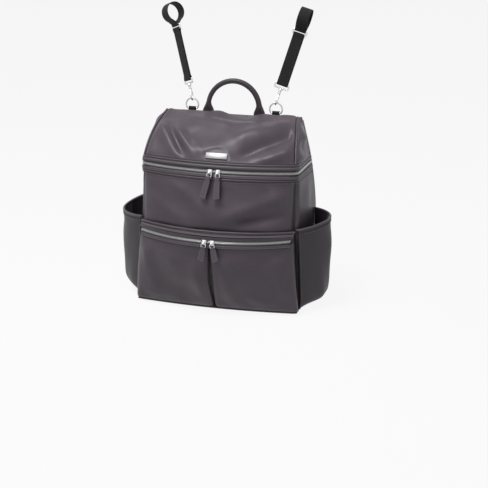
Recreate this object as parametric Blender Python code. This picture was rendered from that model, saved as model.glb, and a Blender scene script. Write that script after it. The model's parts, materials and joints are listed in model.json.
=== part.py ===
"""Backpack-style diaper bag with stroller straps, as separate sub-parts.

Metres, +Z up. The bag stands on its base at z = 0 and its front faces -Y; the origin is the
centre of its footprint. Soft panels are plain closed solids; every moving piece hangs on an
empty that lies on its joint axis.
"""

import math

import bmesh
import bpy
from mathutils import Matrix, Vector

# --- Driving dimensions -------------------------------------------------------------------

GAP = 0.0003                    # clearance between touching pieces
SEAM = 0.0008                   # clearance between a flat-sided curve and what follows it

HALF_WIDTH = 0.149              # front panel at the main zip
SIDE_DEPTH = 0.117              # from the rear face to the front panel's side seams
ZIP_Z = 0.273                   # split line of the main zip
RIDGE_Z = 0.359                 # ridge of the lid, the top of the bag
RIDGE_HALF_WIDTH = 0.131
POCKET_ZIP_Z = 0.149            # split line of the front pocket's zip
SIDE_RIM_Z = 0.178              # rim of the side pockets

BACK_Y = SIDE_DEPTH - 0.0393    # rear face of the back panel
BACK_THICK = 0.012              # padded back panel
BACK_TOP = RIDGE_Z - 0.007      # top edge of the back panel
WALL = 0.004                    # leather, foam and backing of the outer panels
BASE_THICK = 0.005              # base panel

# Bag body: height, half width, depth of the side wall, forward bulge of the front panel.
BODY_SECTIONS = [
    (0.000, HALF_WIDTH + 0.0100, SIDE_DEPTH - 0.005, 0.008),
    (POCKET_ZIP_Z, HALF_WIDTH + 0.0010, SIDE_DEPTH + 0.001, 0.034),
    (POCKET_ZIP_Z + 0.021, HALF_WIDTH + 0.0005, SIDE_DEPTH + 0.004, 0.040),
    (ZIP_Z, HALF_WIDTH, SIDE_DEPTH, 0.029),
]
# Back panel: height and half width; the side gussets widen from the front panel to it.
BACK_SECTIONS = [
    (0.000, HALF_WIDTH + 0.011),
    (0.050, HALF_WIDTH + 0.016),
    (SIDE_RIM_Z + 0.003, HALF_WIDTH + 0.017),
    (ZIP_Z, HALF_WIDTH + 0.006),
    (RIDGE_Z, RIDGE_HALF_WIDTH + 0.003),
]
GUSSET_BULGE = 0.006            # outward swell in the middle of a side gusset
ZIP_HEIGHT = 0.0042             # height of one half of a zip chain
ZIP_PROUD = 0.001               # how far a chain stands out of the leather
ZIP_DEPTH = 0.0055              # from the panel's face to the back of the tape

# Lid: a sloping front panel with two side gussets, hinged behind its ridge.
RIDGE_FORWARD = 0.0030          # hinge line, forward of the back panel's front face
RIDGE_BULGE = 0.003
LID_CREST = (SIDE_DEPTH - 0.025, RIDGE_Z - 0.021)   # depth and height the slope bends round
LID_CREST_BULGE = 0.022
LID_CREST_WIDEN = 0.004         # half width of the bend over the mean of zip and ridge
LID_CREST_LIFT = 0.006          # how much higher the bend is in its middle
LID_GUSSET_BULGE = 0.005
LID_GUSSET_REACH = 0.94         # share of the slope that a lid gusset follows

# Front pocket: height, half width, side depth and forward bulge of its two box panels.
POCKET_SECTIONS = [
    (BASE_THICK, HALF_WIDTH + 0.0115, SIDE_DEPTH + 0.013, 0.012),
    (POCKET_ZIP_Z * 0.47, HALF_WIDTH + 0.0060, SIDE_DEPTH + 0.022, 0.036),
    (POCKET_ZIP_Z, HALF_WIDTH - 0.0005, SIDE_DEPTH + 0.019, 0.049),
    (POCKET_ZIP_Z + 0.016, HALF_WIDTH - 0.0005, SIDE_DEPTH + 0.014, 0.046),
]
POCKET_BAND_TOP = POCKET_ZIP_Z + 0.014
POCKET_WALL = 0.003
PLEAT_GAP = 0.001               # half of the gap between the panels at its ends
PLEAT_SPREAD = 0.004            # how much wider that half is half way down
PLEAT_HALF_WIDTH = 0.024
PLEAT_THICK = 0.0015
POCKET_SIDE_THICK = 0.0025
POCKET_SIDE_INSET = 0.001       # how far a side stands in from the panels' edge
POCKET_HINGE_OUT = 0.001        # fold line at the foot, forward of the base
POCKET_CHAIN_HALF = 0.97        # share of the front that the pocket's chain spans
PLEAT_TOP_GAP = 0.004           # from the pleat's top to the chain

# Side pockets: height and half width of the whole bag across them.
SIDE_SECTIONS = [
    (BASE_THICK + 0.0005, HALF_WIDTH + 0.025),
    (BASE_THICK + 0.0150, HALF_WIDTH + 0.046),
    (BASE_THICK + 0.0400, HALF_WIDTH + 0.054),
    (SIDE_RIM_Z - 0.063, HALF_WIDTH + 0.057),
    (SIDE_RIM_Z, HALF_WIDTH + 0.055),
]
SIDE_POCKET_THICK = 0.003
SIDE_POCKET_SEAM = 0.04         # share of the gusset's depth that each seam stands in

LINING_THICK = 0.0012
LINING_TOP = ZIP_Z - 0.011
LINING_GAP = 0.0015             # room behind the outer panels
BOARD_THICK = 0.003             # stiffener in the floor
INNER_POCKET_HALF_WIDTH = HALF_WIDTH - 0.054
INNER_POCKET_TOP = ZIP_Z - 0.083
INNER_POCKET_DEPTH = 0.014      # depth of the slip pocket's hollow
INNER_POCKET_WALL = 0.0015

PLATE_SIZE = (0.041, 0.012, 0.0012)
PLATE_UP = 0.17                 # place along the lid's slope, 0 at the zip and 1 at the ridge

SLIDER_SIZE = (0.008, 0.0042, 0.0105)
SLIDER_X = 0.0075               # half the distance between two closed sliders
BAIL_SIZE = (0.0026, 0.0042, 0.0062)
BAIL_WALL = 0.0009
BAIL_ROOT = 0.001               # how deep a bail's feet stand in the slider
BAIL_CORNER = 0.001
SLIDER_EDGE = 0.0008
PULL_WIRE = 0.0008
PULL_RING = (0.0082, 0.0075)    # width and height, between wire centres
TAB_THICK = 0.0011
TAB_WIDTH = 0.0125
TAB_TOP_SHARE = 0.80            # width just under the ring, as a share of the tab's
TAB_NECK = 0.004                # length of the narrow fold that goes through the ring
RING_CORNER = 0.002             # corner radius of the small wire loops
MAIN_TAB_LENGTH = 0.040
POCKET_TAB_LENGTH = 0.026
TAB_TILTS = {("main", "left"): math.radians(14), ("main", "right"): 0.0,
             ("pocket", "left"): math.radians(9), ("pocket", "right"): math.radians(13)}

HANDLE_HALF_SPAN = 0.051
HANDLE_TOP = RIDGE_Z + 0.061
HANDLE_RADIUS = 0.0052
HANDLE_END_WIDTH = 0.022
HANDLE_END_THICK = 0.004
HANDLE_Y = 0.005                # handle and rings, forward of the rear face
HANDLE_FOOT = BACK_TOP + 0.0005 # where the handle's ends stand on the back panel
HANDLE_STALK = 0.016            # straight height of each end before the arch
HANDLE_STEPS = 18
HANDLE_SIDES = 10

RING_X = 0.083
RING_RADIUS = 0.0122            # D-ring, to the wire's centre
RING_WIRE = 0.0016
RING_FLAT = 0.0075              # the straight bar's distance from the ring's centre
RING_TAB_HALF = 0.0072
RING_BAR_Z = RIDGE_Z + 0.0015
WEB_THICK = 0.0015

STRAP_OUT = math.radians(16)    # outward lean of the stroller straps
STRAP_BACK = math.radians(8)
SWIVEL_TURN = {"left": math.radians(-40), "right": 0.0}
HOOK_WIRE = 0.0018
HOOK_EYE = 0.0058
HOOK_SHANK = (0.0185, 0.0240)   # from the ring's wire to the shank's ends
HOOK_SHANK_RADIUS = 0.0030
SHANK_OVERLAP = 0.002           # how far the shank reaches down over the wire
HOOK_NECK = 0.0030              # the wire leaves the shank straight, then bends out by this
HOOK_SHOULDER = 0.0078          # height of that bend over the eye's centre
HOOK_TURN = math.radians(189)   # how far the eye goes round the ring's wire
HOOK_EYE_Z = HOOK_EYE - (RING_WIRE + HOOK_WIRE + GAP)
GATE_WIRE = 0.0012
GATE_ROOT = (0.0046, 0.0022)    # from the shank's axis, and below its end
GATE_TIP_UP = 0.0018            # gate's end above the eye's centre
BARREL = (0.0042, 0.0040)       # swivel barrel: radius and length
BARREL_TAPER = 0.8
LOOP_WIRE = 0.0015
LOOP_HALF = (0.0135, 0.0040)    # half width and half height of a strap ring
LOOP_SUNK = 0.4                 # height of the swivel loop's bar over the barrel, in wires
STRAP_WIDTH = 0.022
STRAP_LENGTH = 0.098            # from the swivel's bar to the ring's bar
STRAP_SEWN = 0.008              # from a bar to where the two plies are sewn together
PLY_GAP = 0.0002                # between two sewn plies
TURN_STEPS = 6                  # facets of webbing round a bar
BAR_RADIUS = 0.0175             # handlebar that the upper loop goes round
BAR_LOOP_NECK = 0.006           # from the strap ring to the loop
BAR_LOOP_MOUTH = math.radians(28)   # half the angle where the loop closes to its neck
BAR_LOOP_STEPS = 20
BAR_LOOP_RISE = 0.002           # straight stretch of the loop over the strap ring

PAD_TOP = BACK_TOP - 0.007
PAD_THICK = 0.010
PAD_ROUTE = [(0.046, PAD_TOP), (0.052, PAD_TOP - 0.060), (HALF_WIDTH - 0.079, PAD_TOP - 0.140),
             (HALF_WIDTH - 0.056, PAD_TOP - 0.217)]
PAD_HALF_WIDTH = (0.032, 0.022)
SHOULDER_WEB_WIDTH = 0.025
SHOULDER_LOOP_HALF = (0.0150, 0.0060)
SHOULDER_WIRE = 0.0020
SHOULDER_LOOP_CORNER = 0.003
ADJUSTER_BACK = 0.004           # adjusters, behind the back panel's face
SHOULDER_ANCHOR = (HALF_WIDTH - 0.021, 0.016)

FRONT_OF_BACK = BACK_Y - BACK_THICK
HINGE = Vector((0.0, FRONT_OF_BACK - RIDGE_FORWARD, RIDGE_Z - WALL / 2))
RING_Y = BACK_Y - HANDLE_Y
SIDES = (("left", -1), ("right", 1))


# --- Building blocks ----------------------------------------------------------------------

def clear_scene():
    for old in list(bpy.data.objects):
        bpy.data.objects.remove(old, do_unlink=True)


def finish(name, colour, roughness, metallic=0.0):
    """One Principled material."""
    made = bpy.data.materials.new(name)
    made.use_nodes = True
    shader = made.node_tree.nodes["Principled BSDF"]
    shader.inputs["Base Color"].default_value = (*colour, 1.0)
    shader.inputs["Roughness"].default_value = roughness
    shader.inputs["Metallic"].default_value = metallic
    return made


def pivot(name, matrix, parent=None):
    """An empty on a joint's axis."""
    empty = bpy.data.objects.new(name, None)
    bpy.context.collection.objects.link(empty)
    empty.parent = parent
    if parent:
        bpy.context.view_layer.update()
        empty.matrix_local = parent.matrix_world.inverted() @ matrix
    else:
        empty.matrix_local = matrix
    bpy.context.view_layer.update()
    return empty


def place(obj, matrix, parent):
    """Links an object whose data is in the local space of matrix."""
    bpy.context.collection.objects.link(obj)
    if parent:
        obj.parent = parent
        obj.matrix_local = parent.matrix_world.inverted() @ matrix
    else:
        obj.matrix_local = matrix
    return obj


def mesh_object(name, bm, surface, matrix=Matrix(), parent=None, smooth=False):
    bm.normal_update()
    bmesh.ops.recalc_face_normals(bm, faces=bm.faces)
    mesh = bpy.data.meshes.new(name)
    bm.to_mesh(mesh)
    bm.free()
    mesh.materials.append(surface)
    if smooth:
        mesh.shade_smooth()
        mesh.set_sharp_from_angle(angle=math.radians(40))
    return place(bpy.data.objects.new(name, mesh), matrix, parent)


def slab(name, columns, rows, shape, surface, matrix=Matrix(), parent=None):
    """A flat slab bent by shape(u, v, w): u and v run 0 to 1, w is 0 outside and 1 inside."""
    bm = bmesh.new()
    bmesh.ops.create_grid(bm, x_segments=columns, y_segments=rows, size=1.0)
    grown = bmesh.ops.extrude_face_region(bm, geom=bm.faces[:])["geom"]
    lifted = [v for v in grown if isinstance(v, bmesh.types.BMVert)]
    bmesh.ops.translate(bm, verts=lifted, vec=(0, 0, 1))
    for v in bm.verts:
        v.co = shape((v.co.x + 1) / 2, (v.co.y + 1) / 2, v.co.z)
    return mesh_object(name, bm, surface, matrix, parent)


def band(name, segments, shape, surface, matrix=Matrix(), parent=None, rows=1):
    """A closed band bent by shape(turn, v, w), where turn runs 0 to 1 once round."""
    bm = bmesh.new()
    bmesh.ops.create_cone(bm, segments=segments, radius1=1, radius2=1, depth=1)
    upright = [e for e in bm.edges if e.verts[0].co.z * e.verts[1].co.z < 0]
    bmesh.ops.subdivide_edges(bm, edges=upright, cuts=rows - 1)
    grown = bmesh.ops.extrude_face_region(bm, geom=bm.faces[:])["geom"]
    inner = [v for v in grown if isinstance(v, bmesh.types.BMVert)]
    bmesh.ops.scale(bm, verts=inner, vec=(0.5, 0.5, 1))
    for v in bm.verts:
        turn = round(math.atan2(v.co.y, v.co.x) / math.tau * segments) % segments / segments
        v.co = shape(turn, v.co.z + 0.5, 0 if v.co.xy.length > 0.75 else 1)
    return mesh_object(name, bm, surface, matrix, parent)


def tube(name, points, radius, surface, matrix=Matrix(), parent=None, closed=True):
    """A round wire through points; a closed one is a ring."""
    curve = bpy.data.curves.new(name, "CURVE")
    curve.dimensions = "3D"
    curve.bevel_depth = radius
    curve.bevel_resolution = 2
    curve.use_fill_caps = True
    curve.materials.append(surface)
    spline = curve.splines.new("POLY")
    spline.points.add(len(points) - 1)
    for knot, at in zip(spline.points, points):
        knot.co = (*at, 1.0)
    spline.use_cyclic_u = closed
    return place(bpy.data.objects.new(name, curve), matrix, parent)


def add_solid(obj, solid):
    """Joins a helper solid to obj."""
    union = obj.modifiers.new(solid.name, "BOOLEAN")
    union.operation = "UNION"
    union.object = solid
    solid.hide_render = True
    solid.display_type = "WIRE"


def between(stations, z):
    """Values of a list of stations, read at height z."""
    for low, high in zip(stations, stations[1:]):
        if z <= high[0]:
            t = (z - low[0]) / (high[0] - low[0])
            return [a + (b - a) * t for a, b in zip(low[1:], high[1:])]
    return list(stations[-1][1:])


def arc_y(section, x, inset):
    """Where a bulging wall stands at x: one arc through its two corners and its crown."""
    half, depth, bulge = section
    radius = (half**2 + bulge**2) / (2 * bulge)
    return BACK_Y - depth - bulge + radius - math.sqrt((radius - inset)**2 - x**2)


def wall_point(stations, side, z, inset):
    """A point of a front wall: side runs -1 to 1 across it."""
    section = between(stations, z)
    x = side * (section[0] - inset)
    return Vector((x, arc_y(section, x, inset), z))


def swing_centre(section):
    """Centre of the arc that a front wall follows."""
    half, depth, bulge = section
    return BACK_Y - depth - bulge + (half**2 + bulge**2) / (2 * bulge)


def gusset_x(z, t, inset):
    """Half width of the bag's side: t is 0 at the front panel and 1 at the back panel."""
    front = between(BODY_SECTIONS, z)[0]
    rear = between(BACK_SECTIONS, z)[0]
    swell = GUSSET_BULGE * math.sin(math.pi * t) * math.sin(math.pi * min(1.0, z / ZIP_Z))
    return front + (rear - front) * t + swell - inset


def u_path(stations, t, z, inset, rear):
    """A point along a path that runs up the left side, across the front and back again."""
    corner = 0.2
    back = between(BACK_SECTIONS, z)[0] - inset
    if t < corner:
        return wall_point(stations, -1, z, inset).lerp(Vector((-back, rear, z)), 1 - t / corner)
    if t > 1 - corner:
        share = (t - 1 + corner) / corner
        return wall_point(stations, 1, z, inset).lerp(Vector((back, rear, z)), share)
    return wall_point(stations, (t - corner) / (1 - 2 * corner) * 2 - 1, z, inset)


def folded_strip(radius, length, thick, half_gap, steps=6):
    """Outline of a strip folded over a bar at the origin, hanging down: its middle line."""
    run = radius + GAP + thick / 2
    turn = [math.pi * i / steps for i in range(steps + 1)]
    over = [(-run * math.cos(a), run * math.sin(a)) for a in turn]
    legs = [(half_gap + thick / 2, -2.2 * run), (half_gap + thick / 2, -length)]
    return [(-y, z) for y, z in reversed(legs)] + over + legs


def strip_shape(line, width, thick):
    """Shape function of a strip that follows line (y, z) and is width wide along X."""
    def shape(u, v, w):
        i = round(u * (len(line) - 1))
        y0, z0 = line[max(i - 1, 0)]
        y1, z1 = line[min(i + 1, len(line) - 1)]
        along = Vector((y1 - y0, z1 - z0)).normalized()
        off = (0.5 - w) * thick
        y, z = line[i]
        return Vector(((v - 0.5) * width, y - along.y * off, z + along.x * off))
    return shape


def mesh_of(obj):
    """The finished mesh of a curve object."""
    bpy.context.view_layer.update()
    seen = obj.evaluated_get(bpy.context.evaluated_depsgraph_get())
    return bpy.data.meshes.new_from_object(seen)


def closed_strip(line, width, thick):
    """Shape function of a closed strip that follows line (y, z)."""
    count = len(line)

    def shape(turn, v, w):
        i = round(turn * count) % count
        before, after = Vector(line[i - 1]), Vector(line[(i + 1) % count])
        along = (after - before).normalized()
        off = (0.5 - w) * thick
        y, z = line[i]
        return Vector(((v - 0.5) * width, y + along.y * off, z - along.x * off))
    return shape


def rounded_loop(half_width, half_height, corner, centre_z=0.0, steps=3):
    """Points of a rounded rectangle in the XZ plane."""
    points = []
    for quarter, (sx, sz) in enumerate([(1, 1), (-1, 1), (-1, -1), (1, -1)]):
        for i in range(steps + 1):
            a = (quarter + i / steps) * math.pi / 2
            x = sx * (half_width - corner) + corner * math.cos(a)
            z = sz * (half_height - corner) + corner * math.sin(a)
            points.append((x, 0.0, centre_z + z))
    return points


clear_scene()
LEATHER = finish("leather", (0.098, 0.082, 0.098), 0.48)
LEATHER_DARK = finish("leather edge", (0.060, 0.050, 0.060), 0.5)
CLOTH = finish("lining cloth", (0.055, 0.055, 0.060), 0.8)
BOARD = finish("stiff board", (0.10, 0.10, 0.10), 0.7)
NICKEL = finish("nickel", (0.72, 0.72, 0.73), 0.22, 1.0)
WEBBING = finish("black webbing", (0.012, 0.012, 0.013), 0.75)


# --- Bag body -----------------------------------------------------------------------------

BASE_TOP = BASE_THICK + GAP
BASE_SECTION = POCKET_SECTIONS[0][1:]


def base_shape(u, v, w):
    x = (2 * u - 1) * BASE_SECTION[0]
    return Vector((x, BACK_Y + (arc_y(BASE_SECTION, x, 0) - BACK_Y) * v, BASE_THICK * w))


def front_shape(u, v, w):
    top = ZIP_Z - ZIP_HEIGHT - 2 * GAP
    return wall_point(BODY_SECTIONS, 2 * u - 1, BASE_TOP + (top - BASE_TOP) * v, WALL * w)


def back_shape(u, v, w):
    z = BASE_TOP + (BACK_TOP - BASE_TOP) * v
    half = between(BACK_SECTIONS, z)[0]
    return Vector(((2 * u - 1) * half, BACK_Y - BACK_THICK * (1 - w), z))


def gusset_shape(sign):
    def shape(u, v, w):
        top = ZIP_Z - ZIP_HEIGHT - 2 * GAP
        z = BASE_TOP + (top - BASE_TOP) * v
        section = between(BODY_SECTIONS, z)
        front = arc_y(section, section[0] - WALL, WALL) + GAP * 2
        rear = FRONT_OF_BACK - GAP
        return Vector((sign * gusset_x(z, u, WALL * w), front + (rear - front) * u, z))
    return shape


def lining_shape(turn, v, w):
    """Once round the inside: front, right side, back, left side."""
    z = BASE_TOP + BOARD_THICK + GAP + (LINING_TOP - BASE_TOP - BOARD_THICK - GAP) * v
    inset = WALL + LINING_GAP + LINING_THICK * w
    quarter, t = divmod(turn * 4, 1)
    rear = FRONT_OF_BACK - GAP - LINING_THICK * w
    front = wall_point(BODY_SECTIONS, 1, z, inset).y
    if quarter == 0:
        return wall_point(BODY_SECTIONS, 2 * t - 1, z, inset)
    if quarter == 1:
        return Vector((gusset_x(z, t, inset), front + (rear - front) * t, z))
    if quarter == 2:
        return Vector((gusset_x(z, 1, inset) * (1 - 2 * t), rear, z))
    return Vector((-gusset_x(z, 1 - t, inset), rear + (front - rear) * t, z))


def board_shape(u, v, w):
    z = BASE_TOP + GAP
    section = between(BODY_SECTIONS, z)
    x = (2 * u - 1) * (section[0] - WALL - 4 * GAP)
    front = arc_y(section, x, WALL + 2 * GAP)
    return Vector((x, front + (FRONT_OF_BACK - GAP - front) * v, z + (BOARD_THICK - GAP) * w))


def inner_pocket_shape(u, v, w):
    """A patch across the back lining, folded back to it at its two sides."""
    steps = [(-1, 0), (-1, 1), (1, 1), (1, 0)]
    i = round(u * 3)
    side, out = steps[i]
    lining = FRONT_OF_BACK - GAP - LINING_THICK - GAP
    half = INNER_POCKET_HALF_WIDTH - INNER_POCKET_WALL * w
    reach = out * (INNER_POCKET_DEPTH + INNER_POCKET_WALL * (1 - w))
    foot = BASE_TOP + BOARD_THICK + 2 * GAP
    return Vector((side * half, lining - reach, foot + (INNER_POCKET_TOP - foot) * v))


slab("base_panel", 16, 1, base_shape, LEATHER)
slab("front_panel", 16, 8, front_shape, LEATHER)
slab("back_panel", 1, 12, back_shape, LEATHER)
for word, sign in SIDES:
    slab(f"gusset_{word}", 6, 8, gusset_shape(sign), LEATHER)
band("lining", 48, lining_shape, CLOTH, rows=8)
slab("base_board", 16, 1, board_shape, BOARD)
slab("inner_pocket", 3, 1, inner_pocket_shape, CLOTH)


# --- Lid ----------------------------------------------------------------------------------

LID_Z = ZIP_Z + ZIP_HEIGHT + 3 * GAP


def lid_point(side, v, inset):
    """A point of the lid's slope: v is 0 at the zip and 1 at the ridge."""
    section = BODY_SECTIONS[-1][1:]
    low = Vector((side * section[0], arc_y(section, side * section[0], 0), LID_Z))
    swell = 1 - side**2
    crest_half = (section[0] + RIDGE_HALF_WIDTH) / 2 + LID_CREST_WIDEN
    crest = Vector((side * crest_half, BACK_Y - LID_CREST[0] - LID_CREST_BULGE * swell,
                    LID_CREST[1] + LID_CREST_LIFT * swell))
    high = Vector((side * RIDGE_HALF_WIDTH, HINGE.y - RIDGE_BULGE * swell, RIDGE_Z))
    at = low * (1 - v)**2 + crest * 2 * v * (1 - v) + high * v**2
    along = (crest - low) * (1 - v) + (high - crest) * v
    inward = Vector((0, along.z, -along.y)).normalized()
    at += inward * inset
    at.z = max(at.z, LID_Z)
    return at


def lid_shape(u, v, w):
    return lid_point(2 * u - 1, v, WALL * w)


def lid_gusset_shape(sign):
    def shape(u, v, w):
        edge = lid_point(sign, v * LID_GUSSET_REACH, WALL + SEAM)
        if v == 0:
            edge.z = LID_Z
        rear = FRONT_OF_BACK - GAP
        bulge = LID_GUSSET_BULGE * math.sin(math.pi * u) * math.sin(math.pi * v)
        back = between(BACK_SECTIONS, edge.z)[0]
        x = sign * (abs(edge.x) + (back - abs(edge.x)) * u - WALL / 2 * w + bulge)
        return Vector((x, edge.y + (rear - edge.y) * u, edge.z))
    return shape


def zip_shape(stations, low, high, rear):
    """Half a zip chain that runs round the sides and the front."""
    def shape(u, v, w):
        inset = -ZIP_PROUD + (ZIP_PROUD + ZIP_DEPTH) * w
        at = u_path(stations, u, ZIP_Z, inset, rear)
        return Vector((at.x, at.y, low + (high - low) * v))
    return shape


lid = pivot("lid_axis", Matrix.Translation(HINGE))
slab("lid_panel", 16, 10, lid_shape, LEATHER, parent=lid)
for word, sign in SIDES:
    slab(f"lid_gusset_{word}", 6, 8, lid_gusset_shape(sign), LEATHER, parent=lid)
slab("main_zip_lower", 25, 1,
     zip_shape(BODY_SECTIONS, ZIP_Z - ZIP_HEIGHT, ZIP_Z - GAP, FRONT_OF_BACK - GAP), NICKEL)
slab("main_zip_upper", 25, 1,
     zip_shape(BODY_SECTIONS, ZIP_Z + GAP, ZIP_Z + ZIP_HEIGHT, FRONT_OF_BACK - GAP), NICKEL,
     parent=lid)

def add_name_plate():
    """A blank plate on the middle of the lid, flush with its slope."""
    step = 0.02
    up = (lid_point(0, PLATE_UP + step, 0) - lid_point(0, PLATE_UP - step, 0)).normalized()
    out = Vector((1, 0, 0)).cross(up)
    frame = Matrix((Vector((1, 0, 0)), -out, up)).transposed().to_4x4()
    frame.translation = lid_point(0, PLATE_UP, 0) + out * (GAP + PLATE_SIZE[2] / 2)
    bm = bmesh.new()
    bmesh.ops.create_cube(bm, size=1.0)
    bmesh.ops.scale(bm, verts=bm.verts, vec=(PLATE_SIZE[0], PLATE_SIZE[2], PLATE_SIZE[1]))
    mesh_object("name_plate", bm, NICKEL, frame, lid)


add_name_plate()


# --- Front pocket -------------------------------------------------------------------------

POCKET_FOOT = BASE_TOP
POCKET_TOP = POCKET_ZIP_Z - ZIP_HEIGHT - GAP
POCKET_HINGE = Vector((0.0, arc_y(BASE_SECTION, 0, 0) - POCKET_HINGE_OUT, POCKET_FOOT + GAP))


def pleat_half(z):
    share = (z - POCKET_FOOT) / (POCKET_TOP - POCKET_FOOT)
    return PLEAT_GAP + PLEAT_SPREAD * math.sin(math.pi * share)**2


def pocket_shape(sign):
    def shape(u, v, w):
        z = POCKET_FOOT + (POCKET_TOP - POCKET_FOOT) * v
        half = between(POCKET_SECTIONS, z)[0]
        inner = pleat_half(z) / half
        return wall_point(POCKET_SECTIONS, sign * (inner + (1 - inner) * u), z, POCKET_WALL * w)
    return shape


def pleat_shape(u, v, w):
    z = POCKET_FOOT + (POCKET_TOP - PLEAT_TOP_GAP - POCKET_FOOT) * v
    half = between(POCKET_SECTIONS, z)[0]
    side = (2 * u - 1) * PLEAT_HALF_WIDTH / half
    return wall_point(POCKET_SECTIONS, side, z, POCKET_WALL + SEAM + PLEAT_THICK * w)


def pocket_side_shape(sign):
    def shape(u, v, w):
        z = POCKET_FOOT + (POCKET_TOP - POCKET_FOOT) * v
        wall = between(BODY_SECTIONS, z)
        panel = between(POCKET_SECTIONS, z)
        x = min(wall[0], panel[0] - POCKET_WALL) - POCKET_SIDE_INSET - POCKET_SIDE_THICK * w
        rear = arc_y(wall, x, 0) - 1.5 * SEAM
        front = arc_y(panel, min(x + GAP, panel[0] - POCKET_WALL), POCKET_WALL) + 2 * GAP
        return Vector((sign * x, front + (rear - front) * u, z))
    return shape


def pocket_band_shape(u, v, w):
    """The yoke above the pocket's zip, which leans back to the front panel at its top."""
    low = POCKET_ZIP_Z + ZIP_HEIGHT + GAP
    z = low + (POCKET_BAND_TOP - low) * v
    at = wall_point(POCKET_SECTIONS, 2 * u - 1, z, POCKET_WALL * w)
    wall = between(BODY_SECTIONS, z)
    back = arc_y(wall, at.x, 0) - SEAM - POCKET_WALL * (1 - w)
    at.y += (back - at.y) * v**2
    return at


def pocket_zip_shape(low, high):
    def shape(u, v, w):
        inset = -ZIP_PROUD + (ZIP_PROUD + POCKET_WALL) * w
        at = wall_point(POCKET_SECTIONS, (2 * u - 1) * POCKET_CHAIN_HALF, POCKET_ZIP_Z, inset)
        return Vector((at.x, at.y, low + (high - low) * v))
    return shape


pocket = pivot("pocket_axis", Matrix.Translation(POCKET_HINGE))
for word, sign in SIDES:
    slab(f"pocket_panel_{word}", 10, 8, pocket_shape(sign), LEATHER, parent=pocket)
    slab(f"pocket_side_{word}", 1, 6, pocket_side_shape(sign), LEATHER_DARK)
slab("pocket_pleat", 4, 8, pleat_shape, LEATHER_DARK, parent=pocket)
slab("pocket_band", 16, 3, pocket_band_shape, LEATHER)
slab("pocket_zip_lower", 18, 1,
     pocket_zip_shape(POCKET_ZIP_Z - ZIP_HEIGHT, POCKET_ZIP_Z - GAP), NICKEL, parent=pocket)
slab("pocket_zip_upper", 18, 1,
     pocket_zip_shape(POCKET_ZIP_Z + GAP, POCKET_ZIP_Z + ZIP_HEIGHT), NICKEL)


# --- Zip sliders and their pulls ----------------------------------------------------------

def add_slider(prefix, word, sign, stations, z, carrier, tab_length):
    """A slider on its arc, its wire ring and its folded leather tab."""
    section = between(stations, z)
    arc_axis = pivot(f"{prefix}_slider_{word}_axis",
                     Matrix.Translation((0, swing_centre(section), z)), carrier)
    x = sign * SLIDER_X
    thick = SLIDER_SIZE[1]
    face = arc_y(section, x, 0) - ZIP_PROUD - 2 * GAP
    bm = bmesh.new()
    bmesh.ops.create_cube(bm, size=1.0)
    bmesh.ops.scale(bm, verts=bm.verts, vec=SLIDER_SIZE)
    bmesh.ops.bevel(bm, geom=bm.edges[:], offset=SLIDER_EDGE, segments=1, profile=0.5,
                    affect="EDGES", material=-1)
    at = Matrix.Translation((x, face - thick / 2, z))
    slider = mesh_object(f"{prefix}_slider_{word}", bm, NICKEL, at, arc_axis)

    bail_width, bail_out, bail_height = BAIL_SIZE
    line = [(BAIL_ROOT, bail_height / 2), (-bail_out + BAIL_CORNER, bail_height / 2),
            (-bail_out, bail_height / 2 - BAIL_CORNER),
            (-bail_out, -bail_height / 2 + BAIL_CORNER),
            (-bail_out + BAIL_CORNER, -bail_height / 2), (BAIL_ROOT, -bail_height / 2)]
    bail = slab(f"{prefix}_bail_{word}_guide", 5, 1,
                strip_shape(line, bail_width, BAIL_WALL), NICKEL,
                Matrix.Translation((x, face - thick, z)), arc_axis)
    add_solid(slider, bail)

    ring_z = z - bail_height / 2 + BAIL_WALL / 2 + PULL_WIRE + 2 * GAP
    ring_y = face - thick - bail_out / 2
    below = arc_y(between(stations, z - tab_length), x, 0) - arc_y(section, x, 0)
    lean = math.atan2(max(0.0, -below), tab_length)
    hang = (Matrix.Translation((x, ring_y, ring_z)) @ Matrix.Rotation(-lean, 4, "X")
            @ Matrix.Rotation(-sign * TAB_TILTS[prefix, word], 4, "Y"))
    pull_axis = pivot(f"{prefix}_pull_{word}_axis", hang, arc_axis)
    ring = rounded_loop(PULL_RING[0] / 2, PULL_RING[1] / 2, RING_CORNER, -PULL_RING[1] / 2)
    tube(f"{prefix}_pull_ring_{word}", ring, PULL_WIRE, NICKEL, hang, pull_axis)
    tab = hang @ Matrix.Translation((0, 0, -PULL_RING[1]))
    line = folded_strip(PULL_WIRE, tab_length, TAB_THICK, PLY_GAP / 2)
    taper = strip_shape(line, 1.0, TAB_THICK)

    def tab_shape(u, v, w):
        point = taper(u, v, w)
        grow = TAB_TOP_SHARE + (1 - TAB_TOP_SHARE) * min(1.0, -point.z / tab_length)
        neck = PULL_RING[0] - 2 * PULL_WIRE - 4 * GAP
        wide = TAB_WIDTH * grow if point.z < -TAB_NECK else neck
        return Vector((point.x * wide, point.y, point.z))
    slab(f"{prefix}_pull_tab_{word}", len(line) - 1, 1, tab_shape, LEATHER, tab, pull_axis)


for word, sign in SIDES:
    add_slider("main", word, sign, BODY_SECTIONS, ZIP_Z, lid, MAIN_TAB_LENGTH)
    add_slider("pocket", word, sign, POCKET_SECTIONS, POCKET_ZIP_Z, pocket, POCKET_TAB_LENGTH)


# --- Side pockets -------------------------------------------------------------------------

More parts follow.
